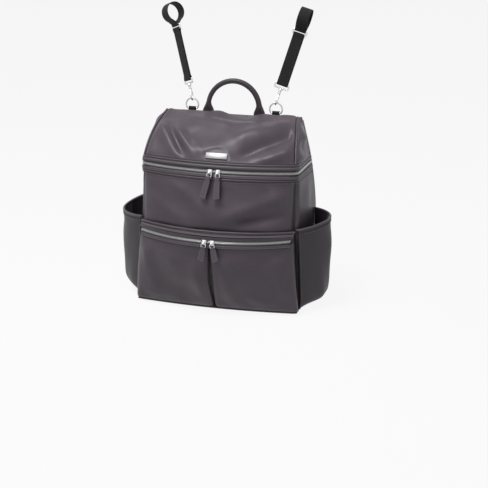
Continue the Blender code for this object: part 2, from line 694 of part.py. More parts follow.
def side_point(sign, u, z, off):
    """A point of a side pocket: u runs from its front seam to its rear seam."""
    t = SIDE_POCKET_SEAM + (1 - 2 * SIDE_POCKET_SEAM) * u
    gusset = gusset_x(z, t, 0)
    swell = between(SIDE_SECTIONS, z)[0] - gusset_x(z, 0.5, 0)
    out = gusset + SEAM + off + swell * max(0.0, math.sin(math.pi * u))**0.75
    front = BACK_Y - between(BODY_SECTIONS, z)[1]
    return Vector((sign * out, front + (FRONT_OF_BACK - front) * t, z))


def side_pocket_shape(sign):
    low, high = SIDE_SECTIONS[0][0], SIDE_SECTIONS[-1][0]

    def shape(u, v, w):
        return side_point(sign, u, low + (high - low) * v, SIDE_POCKET_THICK * (1 - w))
    return shape


for word, sign in SIDES:
    slab(f"side_pocket_{word}", 14, 10, side_pocket_shape(sign), LEATHER)


# --- Carry handle -------------------------------------------------------------------------

def handle_shape():
    """Sections up one side, over the arch and down: centre, tangent, half width, half depth."""
    stations = [(0.0, 0.85, 0.45), (0.0010, 1.0, 1.0), (0.006, 1.0, 1.0)]
    half_end, half_thick = HANDLE_END_WIDTH / 2, HANDLE_END_THICK / 2
    sections = []
    for up, wide, deep in stations:
        sections.append((Vector((-HANDLE_HALF_SPAN, 0, HANDLE_FOOT + up)), Vector((0, 0, 1)),
                         half_end * wide, half_thick * deep))
    spring = HANDLE_FOOT + HANDLE_STALK
    rise = HANDLE_TOP - HANDLE_RADIUS - spring
    for i in range(HANDLE_STEPS + 1):
        a = math.pi * (1 - i / HANDLE_STEPS)
        at = Vector((HANDLE_HALF_SPAN * math.cos(a), 0, spring + rise * math.sin(a)))
        along = Vector((HANDLE_HALF_SPAN * math.sin(a), 0, -rise * math.cos(a))).normalized()
        rolled = min(1.0, 2.2 * math.sin(a) ** 0.8 + 0.15)
        wide = half_end + (HANDLE_RADIUS - half_end) * rolled
        deep = half_thick + (HANDLE_RADIUS - half_thick) * rolled
        sections.append((at, along, wide, deep))
    for at, along, wide, deep in reversed(sections[:len(stations)]):
        sections.append((Vector((-at.x, 0, at.z)), Vector((0, 0, -1)), wide, deep))
    return sections


def add_handle():
    axis = Vector((0, RING_Y, HANDLE_FOOT + HANDLE_END_THICK / 2))
    carrier = pivot("handle_axis", Matrix.Translation(axis))
    bm = bmesh.new()
    loops = []
    last = []
    for at, along, wide, deep in handle_shape():
        across = Vector((along.z, 0, -along.x)).normalized()
        loop = []
        for k in range(HANDLE_SIDES):
            a = math.tau * k / HANDLE_SIDES
            spot = at + across * wide * math.cos(a) + Vector((0, deep * math.sin(a), 0))
            loop.append(bm.verts.new(spot + Vector((0, RING_Y, 0))))
        ring = [bm.edges.new((a, b)) for a, b in zip(loop, loop[1:] + loop[:1])]
        if loops:
            bmesh.ops.bridge_loops(bm, edges=last + ring)
        loops.append(loop)
        last = ring
    bm.faces.new(loops[0])
    bm.faces.new(loops[-1])
    mesh_object("handle", bm, LEATHER, parent=carrier, smooth=True)


add_handle()


# --- D-rings, hooks and stroller straps ---------------------------------------------------

def d_ring_line(steps=20):
    """A circle cut off by a straight bar through the joint axis, in the XZ plane."""
    low = math.asin(-RING_FLAT / RING_RADIUS)
    angles = [low + (math.pi - 2 * low) * i / steps for i in range(steps + 1)]
    return [(RING_RADIUS * math.cos(a), 0.0, RING_FLAT + RING_RADIUS * math.sin(a))
            for a in angles]


def hook_line(steps=9):
    """The hook's wire, in the YZ plane: shank, round the ring's wire and up to its tip."""
    low = [(0.0, HOOK_SHANK[0]), (0.0, HOOK_SHANK[0] - HOOK_NECK),
           (-HOOK_NECK, HOOK_EYE_Z + HOOK_SHOULDER)]
    turn = [math.pi + HOOK_TURN * i / steps for i in range(steps + 1)]
    eye = [(HOOK_EYE * math.cos(a), HOOK_EYE_Z + HOOK_EYE * math.sin(a)) for a in turn]
    return [(0.0, y, z) for y, z in low + eye]


def half_turn(radius, centre, start):
    """Points (y, z) of half a turn of webbing round a bar at height centre."""
    angles = [start + math.pi * i / TURN_STEPS for i in range(TURN_STEPS + 1)]
    return [(radius * math.cos(a), centre + radius * math.sin(a)) for a in angles]


def add_hook(word, hook, hook_axis):
    """The hook's shank and bent wire, joined, and its sprung gate."""
    low, high = HOOK_SHANK
    body = tube(f"hook_wire_{word}_guide", hook_line(), HOOK_WIRE, NICKEL, hook, hook_axis, False)
    bm = bmesh.new()
    bmesh.ops.create_cone(bm, cap_ends=True, segments=12, radius1=HOOK_SHANK_RADIUS,
                          radius2=HOOK_SHANK_RADIUS, depth=high - low + SHANK_OVERLAP)
    middle = (high + low - SHANK_OVERLAP) / 2
    shank = mesh_object(f"hook_body_{word}", bm, NICKEL,
                        hook @ Matrix.Translation((0, 0, middle)), hook_axis, True)
    wire = bpy.data.objects.new(f"hook_eye_{word}_guide", mesh_of(body))
    place(wire, hook, hook_axis)
    bpy.data.objects.remove(body)
    add_solid(shank, wire)

    tip = Vector((0, HOOK_EYE, HOOK_EYE_Z + GATE_TIP_UP))
    root = Vector((0, GATE_ROOT[0], low - GATE_ROOT[1]))
    gate = hook @ Matrix.Translation(root)
    gate_axis = pivot(f"hook_gate_{word}_axis", gate, hook_axis)
    gate_line = [(0, 0, 0), tuple((tip - root) * 0.5), tuple(tip - root)]
    tube(f"hook_gate_{word}", gate_line, GATE_WIRE, NICKEL, gate, gate_axis, False)


def add_stroller_strap(word, sign):
    bar = Matrix.Translation((sign * RING_X, RING_Y, RING_BAR_Z))
    ring_axis = pivot(f"d_ring_{word}_axis", bar)
    tube(f"d_ring_{word}", d_ring_line(), RING_WIRE, NICKEL, bar, ring_axis)

    lean = Matrix.Rotation(sign * STRAP_OUT, 4, "Y") @ Matrix.Rotation(-STRAP_BACK, 4, "X")
    top = Matrix.Translation((0, 0, RING_FLAT + RING_RADIUS))
    hook = bar @ top @ lean
    hook_axis = pivot(f"hook_{word}_axis", hook, ring_axis)
    add_hook(word, hook, hook_axis)

    turn = hook @ Matrix.Rotation(SWIVEL_TURN[word], 4, "Z")
    swivel_axis = pivot(f"swivel_{word}_axis", turn, hook_axis)
    radius, length = BARREL
    bm = bmesh.new()
    bmesh.ops.create_cone(bm, cap_ends=True, segments=12, radius1=radius, radius2=radius * BARREL_TAPER,
                          depth=length)
    base = HOOK_SHANK[1] + GAP
    swivel = mesh_object(f"hook_swivel_{word}", bm, NICKEL,
                         turn @ Matrix.Translation((0, 0, base + length / 2)), swivel_axis, True)
    low_bar = base + length + LOOP_WIRE * LOOP_SUNK
    loop = tube(f"swivel_loop_{word}_line",
                rounded_loop(*LOOP_HALF, RING_CORNER, low_bar + LOOP_HALF[1]),
                LOOP_WIRE, NICKEL, turn, swivel_axis)
    eye = bpy.data.objects.new(f"swivel_eye_{word}_guide", mesh_of(loop))
    place(eye, turn, swivel_axis)
    bpy.data.objects.remove(loop)
    add_solid(swivel, eye)

    upper_bar = low_bar + 2 * LOOP_HALF[1]
    web = turn @ Matrix.Translation((0, 0, upper_bar))
    run = LOOP_WIRE + GAP + WEB_THICK / 2
    slim = WEB_THICK / 2 + PLY_GAP
    end = STRAP_LENGTH
    ply = [STRAP_SEWN, end / 2, end - STRAP_SEWN]
    line = half_turn(run, 0, math.pi) + [(slim, z) for z in ply]
    line += half_turn(run, end, 0) + [(-slim, z) for z in reversed(ply)]
    band(f"strap_webbing_{word}", len(line), closed_strip(line, STRAP_WIDTH, WEB_THICK),
         WEBBING, web, swivel_axis)

    ring_bar = turn @ Matrix.Translation((0, 0, upper_bar + end))
    loop_axis = pivot(f"bar_loop_{word}_axis", ring_bar, swivel_axis)
    tube(f"strap_ring_{word}", rounded_loop(*LOOP_HALF, RING_CORNER, LOOP_HALF[1]),
         LOOP_WIRE, NICKEL, ring_bar, loop_axis)
    grip = BAR_RADIUS + WEB_THICK / 2
    bottom = 2 * LOOP_HALF[1]
    centre = bottom + BAR_LOOP_NECK + grip
    first, sweep = BAR_LOOP_MOUTH - math.pi / 2, math.tau - 2 * BAR_LOOP_MOUTH
    around = [first + sweep * i / BAR_LOOP_STEPS for i in range(BAR_LOOP_STEPS + 1)]
    line = [(grip * math.cos(a), centre + grip * math.sin(a)) for a in around]
    line += [(-run, bottom + BAR_LOOP_RISE)] + half_turn(run, bottom, math.pi)
    line += [(run, bottom + BAR_LOOP_RISE)]
    band(f"bar_loop_{word}", len(line), closed_strip(line, STRAP_WIDTH, WEB_THICK), WEBBING,
         ring_bar, loop_axis)


for word, sign in SIDES:
    add_stroller_strap(word, sign)


tab_line = folded_strip(RING_WIRE, RING_BAR_Z - BACK_TOP - GAP, WEB_THICK, 2 * PLY_GAP)
for word, sign in SIDES:
    slab(f"d_ring_tab_{word}", len(tab_line) - 1, 1,
         strip_shape(tab_line, 2 * RING_TAB_HALF, WEB_THICK), WEBBING,
         Matrix.Translation((sign * RING_X, RING_Y, RING_BAR_Z)))


# --- Shoulder straps ----------------------------------------------------------------------

def route_point(t):
    """A point of the pad's middle line (x, z), on a smooth curve through its route."""
    knots = PAD_ROUTE
    span = t * (len(knots) - 1)
    i = min(int(span), len(knots) - 2)
    f = span - i
    p = [Vector(knots[max(i - 1, 0)]), Vector(knots[i]), Vector(knots[i + 1]),
         Vector(knots[min(i + 2, len(knots) - 1)])]
    return 0.5 * (2 * p[1] + (p[2] - p[0]) * f + (2 * p[0] - 5 * p[1] + 4 * p[2] - p[3]) * f**2
                  + (3 * p[1] - p[0] - 3 * p[2] + p[3]) * f**3)


def pad_shape(sign):
    def shape(u, v, w):
        at = route_point(v)
        along = (route_point(min(v + 0.02, 1)) - route_point(max(v - 0.02, 0))).normalized()
        if v == 0:
            along = Vector((0, -1))
        half = PAD_HALF_WIDTH[0] + (PAD_HALF_WIDTH[1] - PAD_HALF_WIDTH[0]) * v
        x = at.x - along.y * (2 * u - 1) * half
        z = at.y + along.x * (2 * u - 1) * half
        z = min(z, PAD_TOP)
        return Vector((sign * x, BACK_Y + 2 * GAP + PAD_THICK * w, z))
    return shape


def add_shoulder_strap(word, sign):
    top = Matrix.Translation((sign * PAD_ROUTE[0][0], BACK_Y + 2 * GAP, PAD_TOP))
    pad_axis = pivot(f"shoulder_pad_{word}_axis", top)
    slab(f"shoulder_pad_{word}", 4, 14, pad_shape(sign), LEATHER, parent=pad_axis)

    end = Vector(PAD_ROUTE[-1])
    goal = Vector(SHOULDER_ANCHOR)
    way = (goal - end).normalized()
    lean = math.atan2(way.x, -way.y)
    wire = SHOULDER_WIRE
    half_width, half_height = SHOULDER_LOOP_HALF
    first = end + way * (wire + 2 * GAP)
    ring_y = BACK_Y + 2 * GAP + ADJUSTER_BACK
    frame = (Matrix.Translation((sign * first.x, ring_y, first.y))
             @ Matrix.Rotation(-sign * lean, 4, "Y"))
    tube(f"adjuster_{word}",
         rounded_loop(half_width, half_height, SHOULDER_LOOP_CORNER, -half_height),
         wire, WEBBING, frame, pad_axis)
    lower = frame @ Matrix.Translation((0, 0, -2 * half_height))
    web_axis = pivot(f"shoulder_webbing_{word}_axis", lower, pad_axis)
    reach = (goal - first).length - 2 * half_height
    line = folded_strip(wire, reach, WEB_THICK, PLY_GAP)
    slab(f"shoulder_webbing_{word}", len(line) - 1, 1,
         strip_shape(line, SHOULDER_WEB_WIDTH, WEB_THICK), WEBBING, lower, web_axis)


for word, sign in SIDES:
    add_shoulder_strap(word, sign)
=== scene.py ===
import json
import math

import bmesh
import bpy
from mathutils import Matrix, Vector, noise
from mathutils.kdtree import KDTree

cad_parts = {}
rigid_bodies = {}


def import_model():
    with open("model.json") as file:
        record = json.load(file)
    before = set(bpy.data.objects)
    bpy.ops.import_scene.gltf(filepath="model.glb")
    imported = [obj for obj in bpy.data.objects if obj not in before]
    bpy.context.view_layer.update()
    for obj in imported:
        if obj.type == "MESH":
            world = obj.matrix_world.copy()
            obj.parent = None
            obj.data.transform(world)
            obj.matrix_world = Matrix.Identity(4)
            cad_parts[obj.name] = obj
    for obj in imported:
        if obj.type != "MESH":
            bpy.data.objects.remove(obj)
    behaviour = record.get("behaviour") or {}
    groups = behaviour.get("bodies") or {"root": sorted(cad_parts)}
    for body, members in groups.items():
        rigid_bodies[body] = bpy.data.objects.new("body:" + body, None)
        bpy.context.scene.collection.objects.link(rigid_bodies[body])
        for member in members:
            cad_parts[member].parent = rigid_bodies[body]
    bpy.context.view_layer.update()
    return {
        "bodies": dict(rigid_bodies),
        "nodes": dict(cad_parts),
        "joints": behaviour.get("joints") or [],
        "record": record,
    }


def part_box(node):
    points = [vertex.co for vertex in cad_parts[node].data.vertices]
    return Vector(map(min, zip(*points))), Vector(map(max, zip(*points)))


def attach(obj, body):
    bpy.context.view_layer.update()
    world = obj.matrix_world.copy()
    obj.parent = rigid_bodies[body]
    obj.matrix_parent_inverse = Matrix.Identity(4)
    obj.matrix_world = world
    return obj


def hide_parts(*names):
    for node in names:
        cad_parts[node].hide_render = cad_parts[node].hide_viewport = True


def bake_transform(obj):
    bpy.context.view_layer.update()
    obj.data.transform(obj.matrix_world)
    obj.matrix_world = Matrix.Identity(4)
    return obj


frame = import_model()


# --- Camera, floor and studio light -------------------------------------------------------
# The bag stands on a plain pale floor in a white studio. One wide soft lamp hangs high in front,
# a weaker one fills from the left, and the camera looks slightly down at the front.

TARGET = Vector((0.042, -0.0023, 0.117))
DISTANCE = 2.227
AZIMUTH, ELEVATION, ROLL = (math.radians(a) for a in (13.3, 17.7, 0.9))


def math_method(operation, swapped=False):
    def method(self, other):
        pair = (other, self) if swapped else (self, other)
        return self.nodes.add("ShaderNodeMath", {"operation": operation}, dict(enumerate(pair)))
    return method


class Value:
    """One output of a node; an expression on values adds its Math nodes."""

    def __init__(self, nodes, socket):
        self.nodes = nodes
        self.socket = socket

    __add__ = __radd__ = math_method("ADD")
    __mul__ = __rmul__ = math_method("MULTIPLY")
    __sub__ = math_method("SUBTRACT")
    __rsub__ = math_method("SUBTRACT", True)
    __pow__ = math_method("POWER")
    least = math_method("MINIMUM")
    most = math_method("MAXIMUM")


class Nodes:
    """A node tree being filled in."""

    def __init__(self, tree):
        self.tree = tree
        tree.nodes.clear()

    def add(self, kind, settings=None, values=None, out=0):
        """Adds one node, sets it, gives its inputs values or links, and returns an output."""
        node = self.tree.nodes.new(kind)
        for name, setting in (settings or {}).items():
            setattr(node, name, setting)
        for name, value in (values or {}).items():
            if isinstance(value, Value):
                self.tree.links.new(value.socket, node.inputs[name])
            else:
                node.inputs[name].default_value = value
        return Value(self, node.outputs[out]) if node.outputs else None


def white_to_camera(nodes):
    """1 for rays that see the background directly, in a mirror or through glass."""
    path = "ShaderNodeLightPath"
    seen = nodes.add(path, out="Is Camera Ray").most(nodes.add(path, out="Is Glossy Ray"))
    return seen.most(nodes.add(path, out="Is Transmission Ray"))


def add_lamp(name, place, size, power):
    lamp = bpy.data.lights.new(name, "AREA")
    lamp.size = size
    lamp.energy = power
    obj = bpy.data.objects.new(name, lamp)
    bpy.context.scene.collection.objects.link(obj)
    obj.location = place
    obj.rotation_euler = (TARGET - obj.location).to_track_quat("-Z", "Y").to_euler()


def add_stage():
    away = Vector((math.sin(AZIMUTH) * math.cos(ELEVATION),
                   -math.cos(AZIMUTH) * math.cos(ELEVATION), math.sin(ELEVATION)))
    camera = bpy.data.objects.new("camera", bpy.data.cameras.new("camera"))
    camera.data.lens = 85.46
    bpy.context.scene.collection.objects.link(camera)
    turn = (-away).to_track_quat("-Z", "Y").to_matrix().to_4x4()
    camera.matrix_world = (Matrix.Translation(TARGET + away * DISTANCE) @ turn
                           @ Matrix.Rotation(ROLL, 4, "Z"))
    bpy.context.scene.camera = camera
    bpy.context.scene.view_settings.view_transform = "Standard"

    world = bpy.data.worlds.new("studio")
    bpy.context.scene.world = world
    world.use_nodes = True
    air = Nodes(world.node_tree)
    soft = air.add("ShaderNodeBackground", {}, {"Color": (0.96, 0.97, 1.0, 1), "Strength": 0.19})
    white = air.add("ShaderNodeBackground", {}, {"Color": (1, 1, 1, 1), "Strength": 1.0})
    both = air.add("ShaderNodeMixShader", {}, {0: white_to_camera(air), 1: soft, 2: white})
    air.add("ShaderNodeOutputWorld", {}, {"Surface": both})

    bm = bmesh.new()
    bmesh.ops.create_circle(bm, cap_ends=True, segments=64, radius=20)
    mesh = bpy.data.meshes.new("studio_floor")
    bm.to_mesh(mesh)
    bm.free()
    paint = bpy.data.materials.new("pale floor")
    paint.use_nodes = True
    made = Nodes(paint.node_tree)
    matt = made.add("ShaderNodeBsdfDiffuse", {}, {"Color": (0.62, 0.62, 0.62, 1)})
    glow = made.add("ShaderNodeEmission", {}, {"Color": (1, 1, 1, 1), "Strength": 1.0})
    share = white_to_camera(made) * 0.90
    both = made.add("ShaderNodeMixShader", {}, {0: share, 1: matt, 2: glow})
    made.add("ShaderNodeOutputMaterial", {}, {"Surface": both})
    mesh.materials.append(paint)
    floor = bpy.data.objects.new("studio_floor", mesh)
    floor.location.z = -0.0006
    bpy.context.scene.collection.objects.link(floor)

    add_lamp("key", Vector((-0.6, -0.95, 2.8)), 1.1, 74)
    add_lamp("fill", Vector((-0.6, -2.2, 0.8)), 1.2, 3)


add_stage()


# --- Front panel --------------------------------------------------------------------------
# The front of the body is one soft piece of pebbled mauve-grey faux leather over thin foam.
# Its sides turn inwards at the gusset seams, and its foot is hidden behind the front pocket.

BAG_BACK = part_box("back_panel")[1].y            # rear face
BACK_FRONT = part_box("back_panel")[0].y          # front face of the back panel
FLOOR_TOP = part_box("base_panel")[1].z
ZIP_Z = (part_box("main_zip_lower")[1].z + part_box("main_zip_upper")[0].z) / 2
POCKET_ZIP_Z = (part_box("pocket_zip_lower")[1].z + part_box("pocket_zip_upper")[0].z) / 2
SIDES = (("left", -1), ("right", 1))
MIDDLE = Vector((0, -0.01, 0.16))               # a point well inside the bag

# Height, half width, depth of the side wall behind the corner, forward bow of the wall.
BODY = [(0.000, 0.159, 0.112, 0.008), (0.149, 0.150, 0.118, 0.034),
        (0.170, 0.1495, 0.121, 0.040), (0.273, 0.149, 0.117, 0.029)]
LEATHER_THICK = 0.0022
GRAIN_SIZE = 0.0011


def between(stations, z):
    """Values of a list of stations at height z, on smooth curves through them."""
    i = 0
    while i < len(stations) - 2 and z > stations[i + 1][0]:
        i += 1
    low, high = stations[i], stations[i + 1]
    before, after = stations[max(i - 1, 0)], stations[min(i + 2, len(stations) - 1)]
    span = high[0] - low[0]
    t = min(1.0, max(0.0, (z - low[0]) / span))
    values = []
    for a, b, c, d in zip(before[1:], low[1:], high[1:], after[1:]):
        left = (c - a) / (high[0] - before[0]) * span
        right = (d - b) / (after[0] - low[0]) * span
        values.append(b + left * t + (3 * (c - b) - 2 * left - right) * t**2
                      + (2 * (b - c) + left + right) * t**3)
    return values


def wall_point(stations, side, z, proud=0.0):
    """A point of a bowed front wall: side runs -1 to 1 across it."""
    half, depth, bow = between(stations, z)
    radius = (half**2 + bow**2) / (2 * bow)
    x = side * half
    return Vector((x, BAG_BACK - depth - bow + radius - math.sqrt((radius + proud)**2 - x**2), z))


def ease(t):
    t = min(1.0, max(0.0, t))
    return t * t * (3 - 2 * t)


def rolled(distance, radius, depth):
    """How far a turned edge drops below the face, at that distance from the edge."""
    t = max(0.0, 1 - distance / radius)
    return depth * (1 - math.sqrt(max(0.0, 1 - t * t)))


def creases(a, b, folds):
    """Height of soft folds at (a, b): each runs from one point to another with a width and a
    height, and dies out at its ends."""
    height = 0.0
    for (a0, b0), (a1, b1), width, lift in folds:
        da, db = a1 - a0, b1 - b0
        length = math.hypot(da, db)
        t = ((a - a0) * da + (b - b0) * db) / length**2
        off = ((a - a0) * db - (b - b0) * da) / length
        reach = ease((t + 0.25) / 0.5) * ease((1.25 - t) / 0.5)
        height += lift * reach * math.exp(-(off / width)**2)
    return height


def ripple(point, size, height, seed=0.0):
    """A smooth random swell of the leather, with bumps about `size` across."""
    return height * noise.noise(point / size + Vector((seed, seed * 1.7, seed * 0.6)))


def blended(nodes, factor, low, high):
    return nodes.add("ShaderNodeMix", {"data_type": "RGBA"}, {0: factor, 6: low, 7: high}, 2)


def noisy(nodes, at, scale, detail=2.0):
    return nodes.add("ShaderNodeTexNoise", {},
                     {"Vector": at, "Scale": scale, "Detail": detail}, "Fac")


def raised(nodes, height, distance):
    return nodes.add("ShaderNodeBump", {}, {"Height": height, "Distance": distance}, "Normal")


def new_material(name):
    """A material, its empty node tree and the place on the object."""
    material = bpy.data.materials.new(name)
    material.use_nodes = True
    nodes = Nodes(material.node_tree)
    return material, nodes, nodes.add("ShaderNodeTexCoord", out="Object")


def shaded(nodes, values):
    """Ends a node tree in one Principled shader."""
    shader = nodes.add("ShaderNodeBsdfPrincipled", {}, values)
    nodes.add("ShaderNodeOutputMaterial", {}, {"Surface": shader})


def leather(name, tones, roughness):
    """Pebbled faux leather: clouded colour, a fine grain, and paler smoother places: worn edges and
    painted highlights.
    """
    material, nodes, at = new_material(name)
    wear_and_highlight = nodes.add("ShaderNodeAttribute", {"attribute_name": "wear_and_highlight"}, out="Fac")
    pebbles = nodes.add("ShaderNodeTexVoronoi", {"feature": "F1"},
                        {"Vector": at, "Scale": 1 / GRAIN_SIZE}, "Distance")
    pores = noisy(nodes, at, 2600.0, 1.0)
    clouds = noisy(nodes, at, 9.0, 4.0)
    patches = noisy(nodes, at, 46.0, 3.0)
    # Paler where marked: real wear near cut edges, and painted highlight on beads, piping, rims and
    # tabs.
    tone = clouds * 0.75 + patches * 0.5 - 0.12 - pebbles * 0.16 + wear_and_highlight * 0.35
    colour = blended(nodes, tone.least(1.0).most(0.0), *tones)
    rough = roughness - 0.05 + patches * 0.12 + pebbles * 0.08 - wear_and_highlight * 0.07
    height = (1 - pebbles) * 0.7 + pores * 0.3 + patches * 0.9
    shaded(nodes, {
        "Base Color": colour, "Roughness": rough, "Normal": raised(nodes, height, 0.00016),
        "Specular IOR Level": 0.42, "Sheen Weight": 0.08, "Sheen Roughness": 0.4})
    return material


def finished(name, bm, material, body, stands_for=(), thick=0.0, sharp=55, open_sheet=False):
    """Turns a bmesh into a piece: faces outwards, smooth, with its wall, body and nodes."""
    bm.normal_update()
    if open_sheet:
        inward = sum(f.normal.dot(f.calc_center_median() - MIDDLE) * f.calc_area()
                     for f in bm.faces)
        if inward < 0:
            bmesh.ops.reverse_faces(bm, faces=bm.faces)
    else:
        bmesh.ops.recalc_face_normals(bm, faces=bm.faces)
    mesh = bpy.data.meshes.new(name)
    bm.to_mesh(mesh)
    bm.free()
    mesh.shade_smooth()
    mesh.set_sharp_from_angle(angle=math.radians(sharp))
    mesh.materials.append(material)
    obj = bpy.data.objects.new(name, mesh)
    bpy.context.scene.collection.objects.link(obj)
    if thick:
        wall = obj.modifiers.new("wall", "SOLIDIFY")
        wall.thickness = thick
        wall.offset = -1
    if isinstance(body, str):
        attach(obj, body)
    else:
        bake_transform(obj)
    if stands_for:
        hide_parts(*stands_for)
    return obj


def cut_piece(columns, rows, surface, wear_and_highlight_paling=0.05):
    """A flat cut of leather or cloth bent by surface(u, v), paled by wear near its edges."""
    bm = bmesh.new()
    bmesh.ops.create_grid(bm, x_segments=columns, y_segments=rows, size=1)
    worn = bm.verts.layers.float.new("wear_and_highlight")
    for v in bm.verts:
        u, w = (v.co.x + 1) / 2, (v.co.y + 1) / 2
        edge = min(u, 1 - u, w, 1 - w)
        v[worn] = max(0.0, 1 - edge / wear_and_highlight_paling) * (0.6 + 0.8 * noise.noise(Vector((u, w, 0)) * 9))
        v.co = surface(u, w)
    return bm


SEAM_IN = {-1: 0.0025, 1: 0.0058}               # each side seam, in from the corner
SEAM_BACK = 0.0085                              # and behind it
FRONT_FOLDS = [((-0.10, 0.262), (-0.02, 0.205), 0.012, 0.0026),
               ((0.02, 0.190), (0.13, 0.232), 0.012, 0.0036),
               ((0.05, 0.176), (0.125, 0.192), 0.009, -0.0042),
               ((-0.135, 0.215), (-0.06, 0.180), 0.012, 0.0030),
               ((0.095, 0.262), (0.135, 0.200), 0.008, 0.0026)]


def front_skin(side, z):
    """The front of the body, with its folds and turned sides."""
    half = between(BODY, z)[0]
    inset = SEAM_IN[-1] + (SEAM_IN[1] - SEAM_IN[-1]) * (side + 1) / 2
    at = wall_point(BODY, side * (1 - inset / half), z)
    calm = ease((ZIP_Z - 0.018 - z) / 0.02) * ease((1 - abs(side)) * half / 0.02)
    lift = creases(at.x, z, FRONT_FOLDS) + ripple(at, 0.055, 0.0038, 3.1)
    at.y -= lift * calm
    at.y += rolled((1 - abs(side)) * half, 0.011, SEAM_BACK)
    return at


LEATHER = leather("mauve grey leather", ((0.046, 0.035, 0.046, 1), (0.086, 0.067, 0.085, 1)),
                  0.40)
# A darker copy of the leather is painted shade for parts that face away from the lamps: the pocket
# walls and yoke ends, the side pockets and the handle.
SHADED_LEATHER_COPY = leather("mauve leather darkened as painted shade", ((0.023, 0.018, 0.023, 1), (0.043, 0.034, 0.043, 1)),
                       0.42)
# A still darker copy is painted shade, laid as strips and sheets in seams, grooves, gaps and folds.
PAINTED_SHADE_LEATHER = leather("leather darkened as painted shade", ((0.014, 0.012, 0.014, 1), (0.030, 0.026, 0.030, 1)), 0.5)
top = ZIP_Z - 0.0045
front = cut_piece(120, 90, lambda u, v: front_skin(2 * u - 1, FLOOR_TOP + (top - FLOOR_TOP) * v))
finished("front_leather", front, LEATHER, "bag", ("front_panel",),
         LEATHER_THICK, open_sheet=True)


# --- Side gussets -------------------------------------------------------------------------
# A tall strip of the same leather down each side, sewn between the front and the padded back.
# Where it meets the front, both edges turn in and leave a deep seam, darkened with painted shade.

# Height and half width of the bag at the back panel.
BACK = [(0.000, 0.160), (0.050, 0.165), (0.181, 0.166), (0.273, 0.155), (0.359, 0.134)]
GUSSET_SWELL = 0.006
PIPING = 0.0016


def gusset_point(sign, t, z):
    """A side of the body before its folds: t is 0 at the front seam and 1 at the back panel."""
    corner = wall_point(BODY, 1, z)
    rear = between(BACK, z)[0]
    swell = GUSSET_SWELL * math.sin(math.pi * t) * math.sin(math.pi * min(1.0, z / ZIP_Z))
    return Vector((sign * (corner.x + (rear - corner.x) * t + swell),
                   corner.y + (BACK_FRONT - corner.y) * t, z))


def gusset_skin(sign, u, z):
    depth = BACK_FRONT - gusset_point(sign, 0, z).y
    t = (SEAM_BACK + (depth - SEAM_BACK) * u) / depth
    at = gusset_point(sign, t, z)
    calm = math.sin(math.pi * t) * ease((ZIP_Z - 0.014 - z) / 0.03)
    lift = ripple(at, 0.050, 0.0050, 7.0 + sign) * calm
    at.x += sign * (lift - rolled(u * (depth - SEAM_BACK), 0.010, SEAM_IN[sign] + 0.0005))
    return at


def swept(frames, outline, closed=False, wear_and_highlight_paling=0.0):
    """A closed outline of (out, up) drawn along frames of (point, out, up), with capped ends.
    The outline may be a function of the frame's number; a UV map follows it in metres, and
    the last argument makes the whole piece paler: painted highlight, with some wear."""
    shape = outline if callable(outline) else (lambda i: outline)
    sides = len(shape(0))
    spans = len(frames) if closed else len(frames) - 1
    run = [0.0]
    for a, b in zip(frames, frames[1:] + frames[:1]):
        run.append(run[-1] + (b[0] - a[0]).length)
    rim = [0.0]
    first = [Vector(p) for p in shape(len(frames) // 2)]
    for a, b in zip(first, first[1:] + first[:1]):
        rim.append(rim[-1] + (b - a).length)
    bm = bmesh.new()
    bmesh.ops.create_grid(bm, x_segments=spans, y_segments=sides, size=1)
    worn = bm.verts.layers.float.new("wear_and_highlight")
    lengthwise = bm.loops.layers.uv.new("weave")
    places = {v: (round((v.co.x + 1) / 2 * spans), round((v.co.y + 1) / 2 * sides))
              for v in bm.verts}
    for face in bm.faces:
        for loop in face.loops:
            i, k = places[loop.vert]
            loop[lengthwise].uv = (run[i], rim[k])
    for v, (i, k) in places.items():
        at, out, up = frames[i % len(frames)]
        a, b = shape(i % len(frames))[k % sides]
        v.co = at + out * a + up * b
        v[worn] = wear_and_highlight_paling
    bmesh.ops.remove_doubles(bm, verts=bm.verts, dist=1e-7)
    if not closed:
        bmesh.ops.holes_fill(bm, edges=bm.edges, sides=0)
    return bm


def round_outline(radius, sides=10):
    return [(radius * math.cos(math.tau * k / sides), radius * math.sin(math.tau * k / sides))
            for k in range(sides)]


def soft_outline(half_out, half_up, out=0.0, up=0.0, sides=16, square=0.5):
    """A flat strip's outline with round edges, centred on (out, up)."""
    points = []
    for k in range(sides):
        c, s = math.cos(math.tau * k / sides), math.sin(math.tau * k / sides)
        points.append((out + half_out * math.copysign(abs(c)**square, c),
                       up + half_up * math.copysign(abs(s)**square, s)))
    return points


def frames_along(points, out=None, closed=False):
    """Frames along a line of points; out is a fixed direction or one for each point."""
    frames = []
    for i, at in enumerate(points):
        before = points[i - 1] if closed or i else at
        after = points[(i + 1) % len(points)] if closed or i + 1 < len(points) else at
        along = (after - before).normalized()
        way = out[i] if isinstance(out, list) else (out or Vector((0, -1, 0)))
        up = way.cross(along)
        if up.length < 1e-6:
            up = along.orthogonal()
        up.normalize()
        frames.append((at, along.cross(up).normalized(), up))
    return frames


def seam_line(z0, z1, sign, steps=60):
    """The corner where front and gusset meet, from height z0 to z1."""
    inside = Vector((-sign * SEAM_IN[sign], SEAM_BACK, 0))
    return [wall_point(BODY, sign, z0 + (z1 - z0) * i / steps) + inside for i in range(steps + 1)]


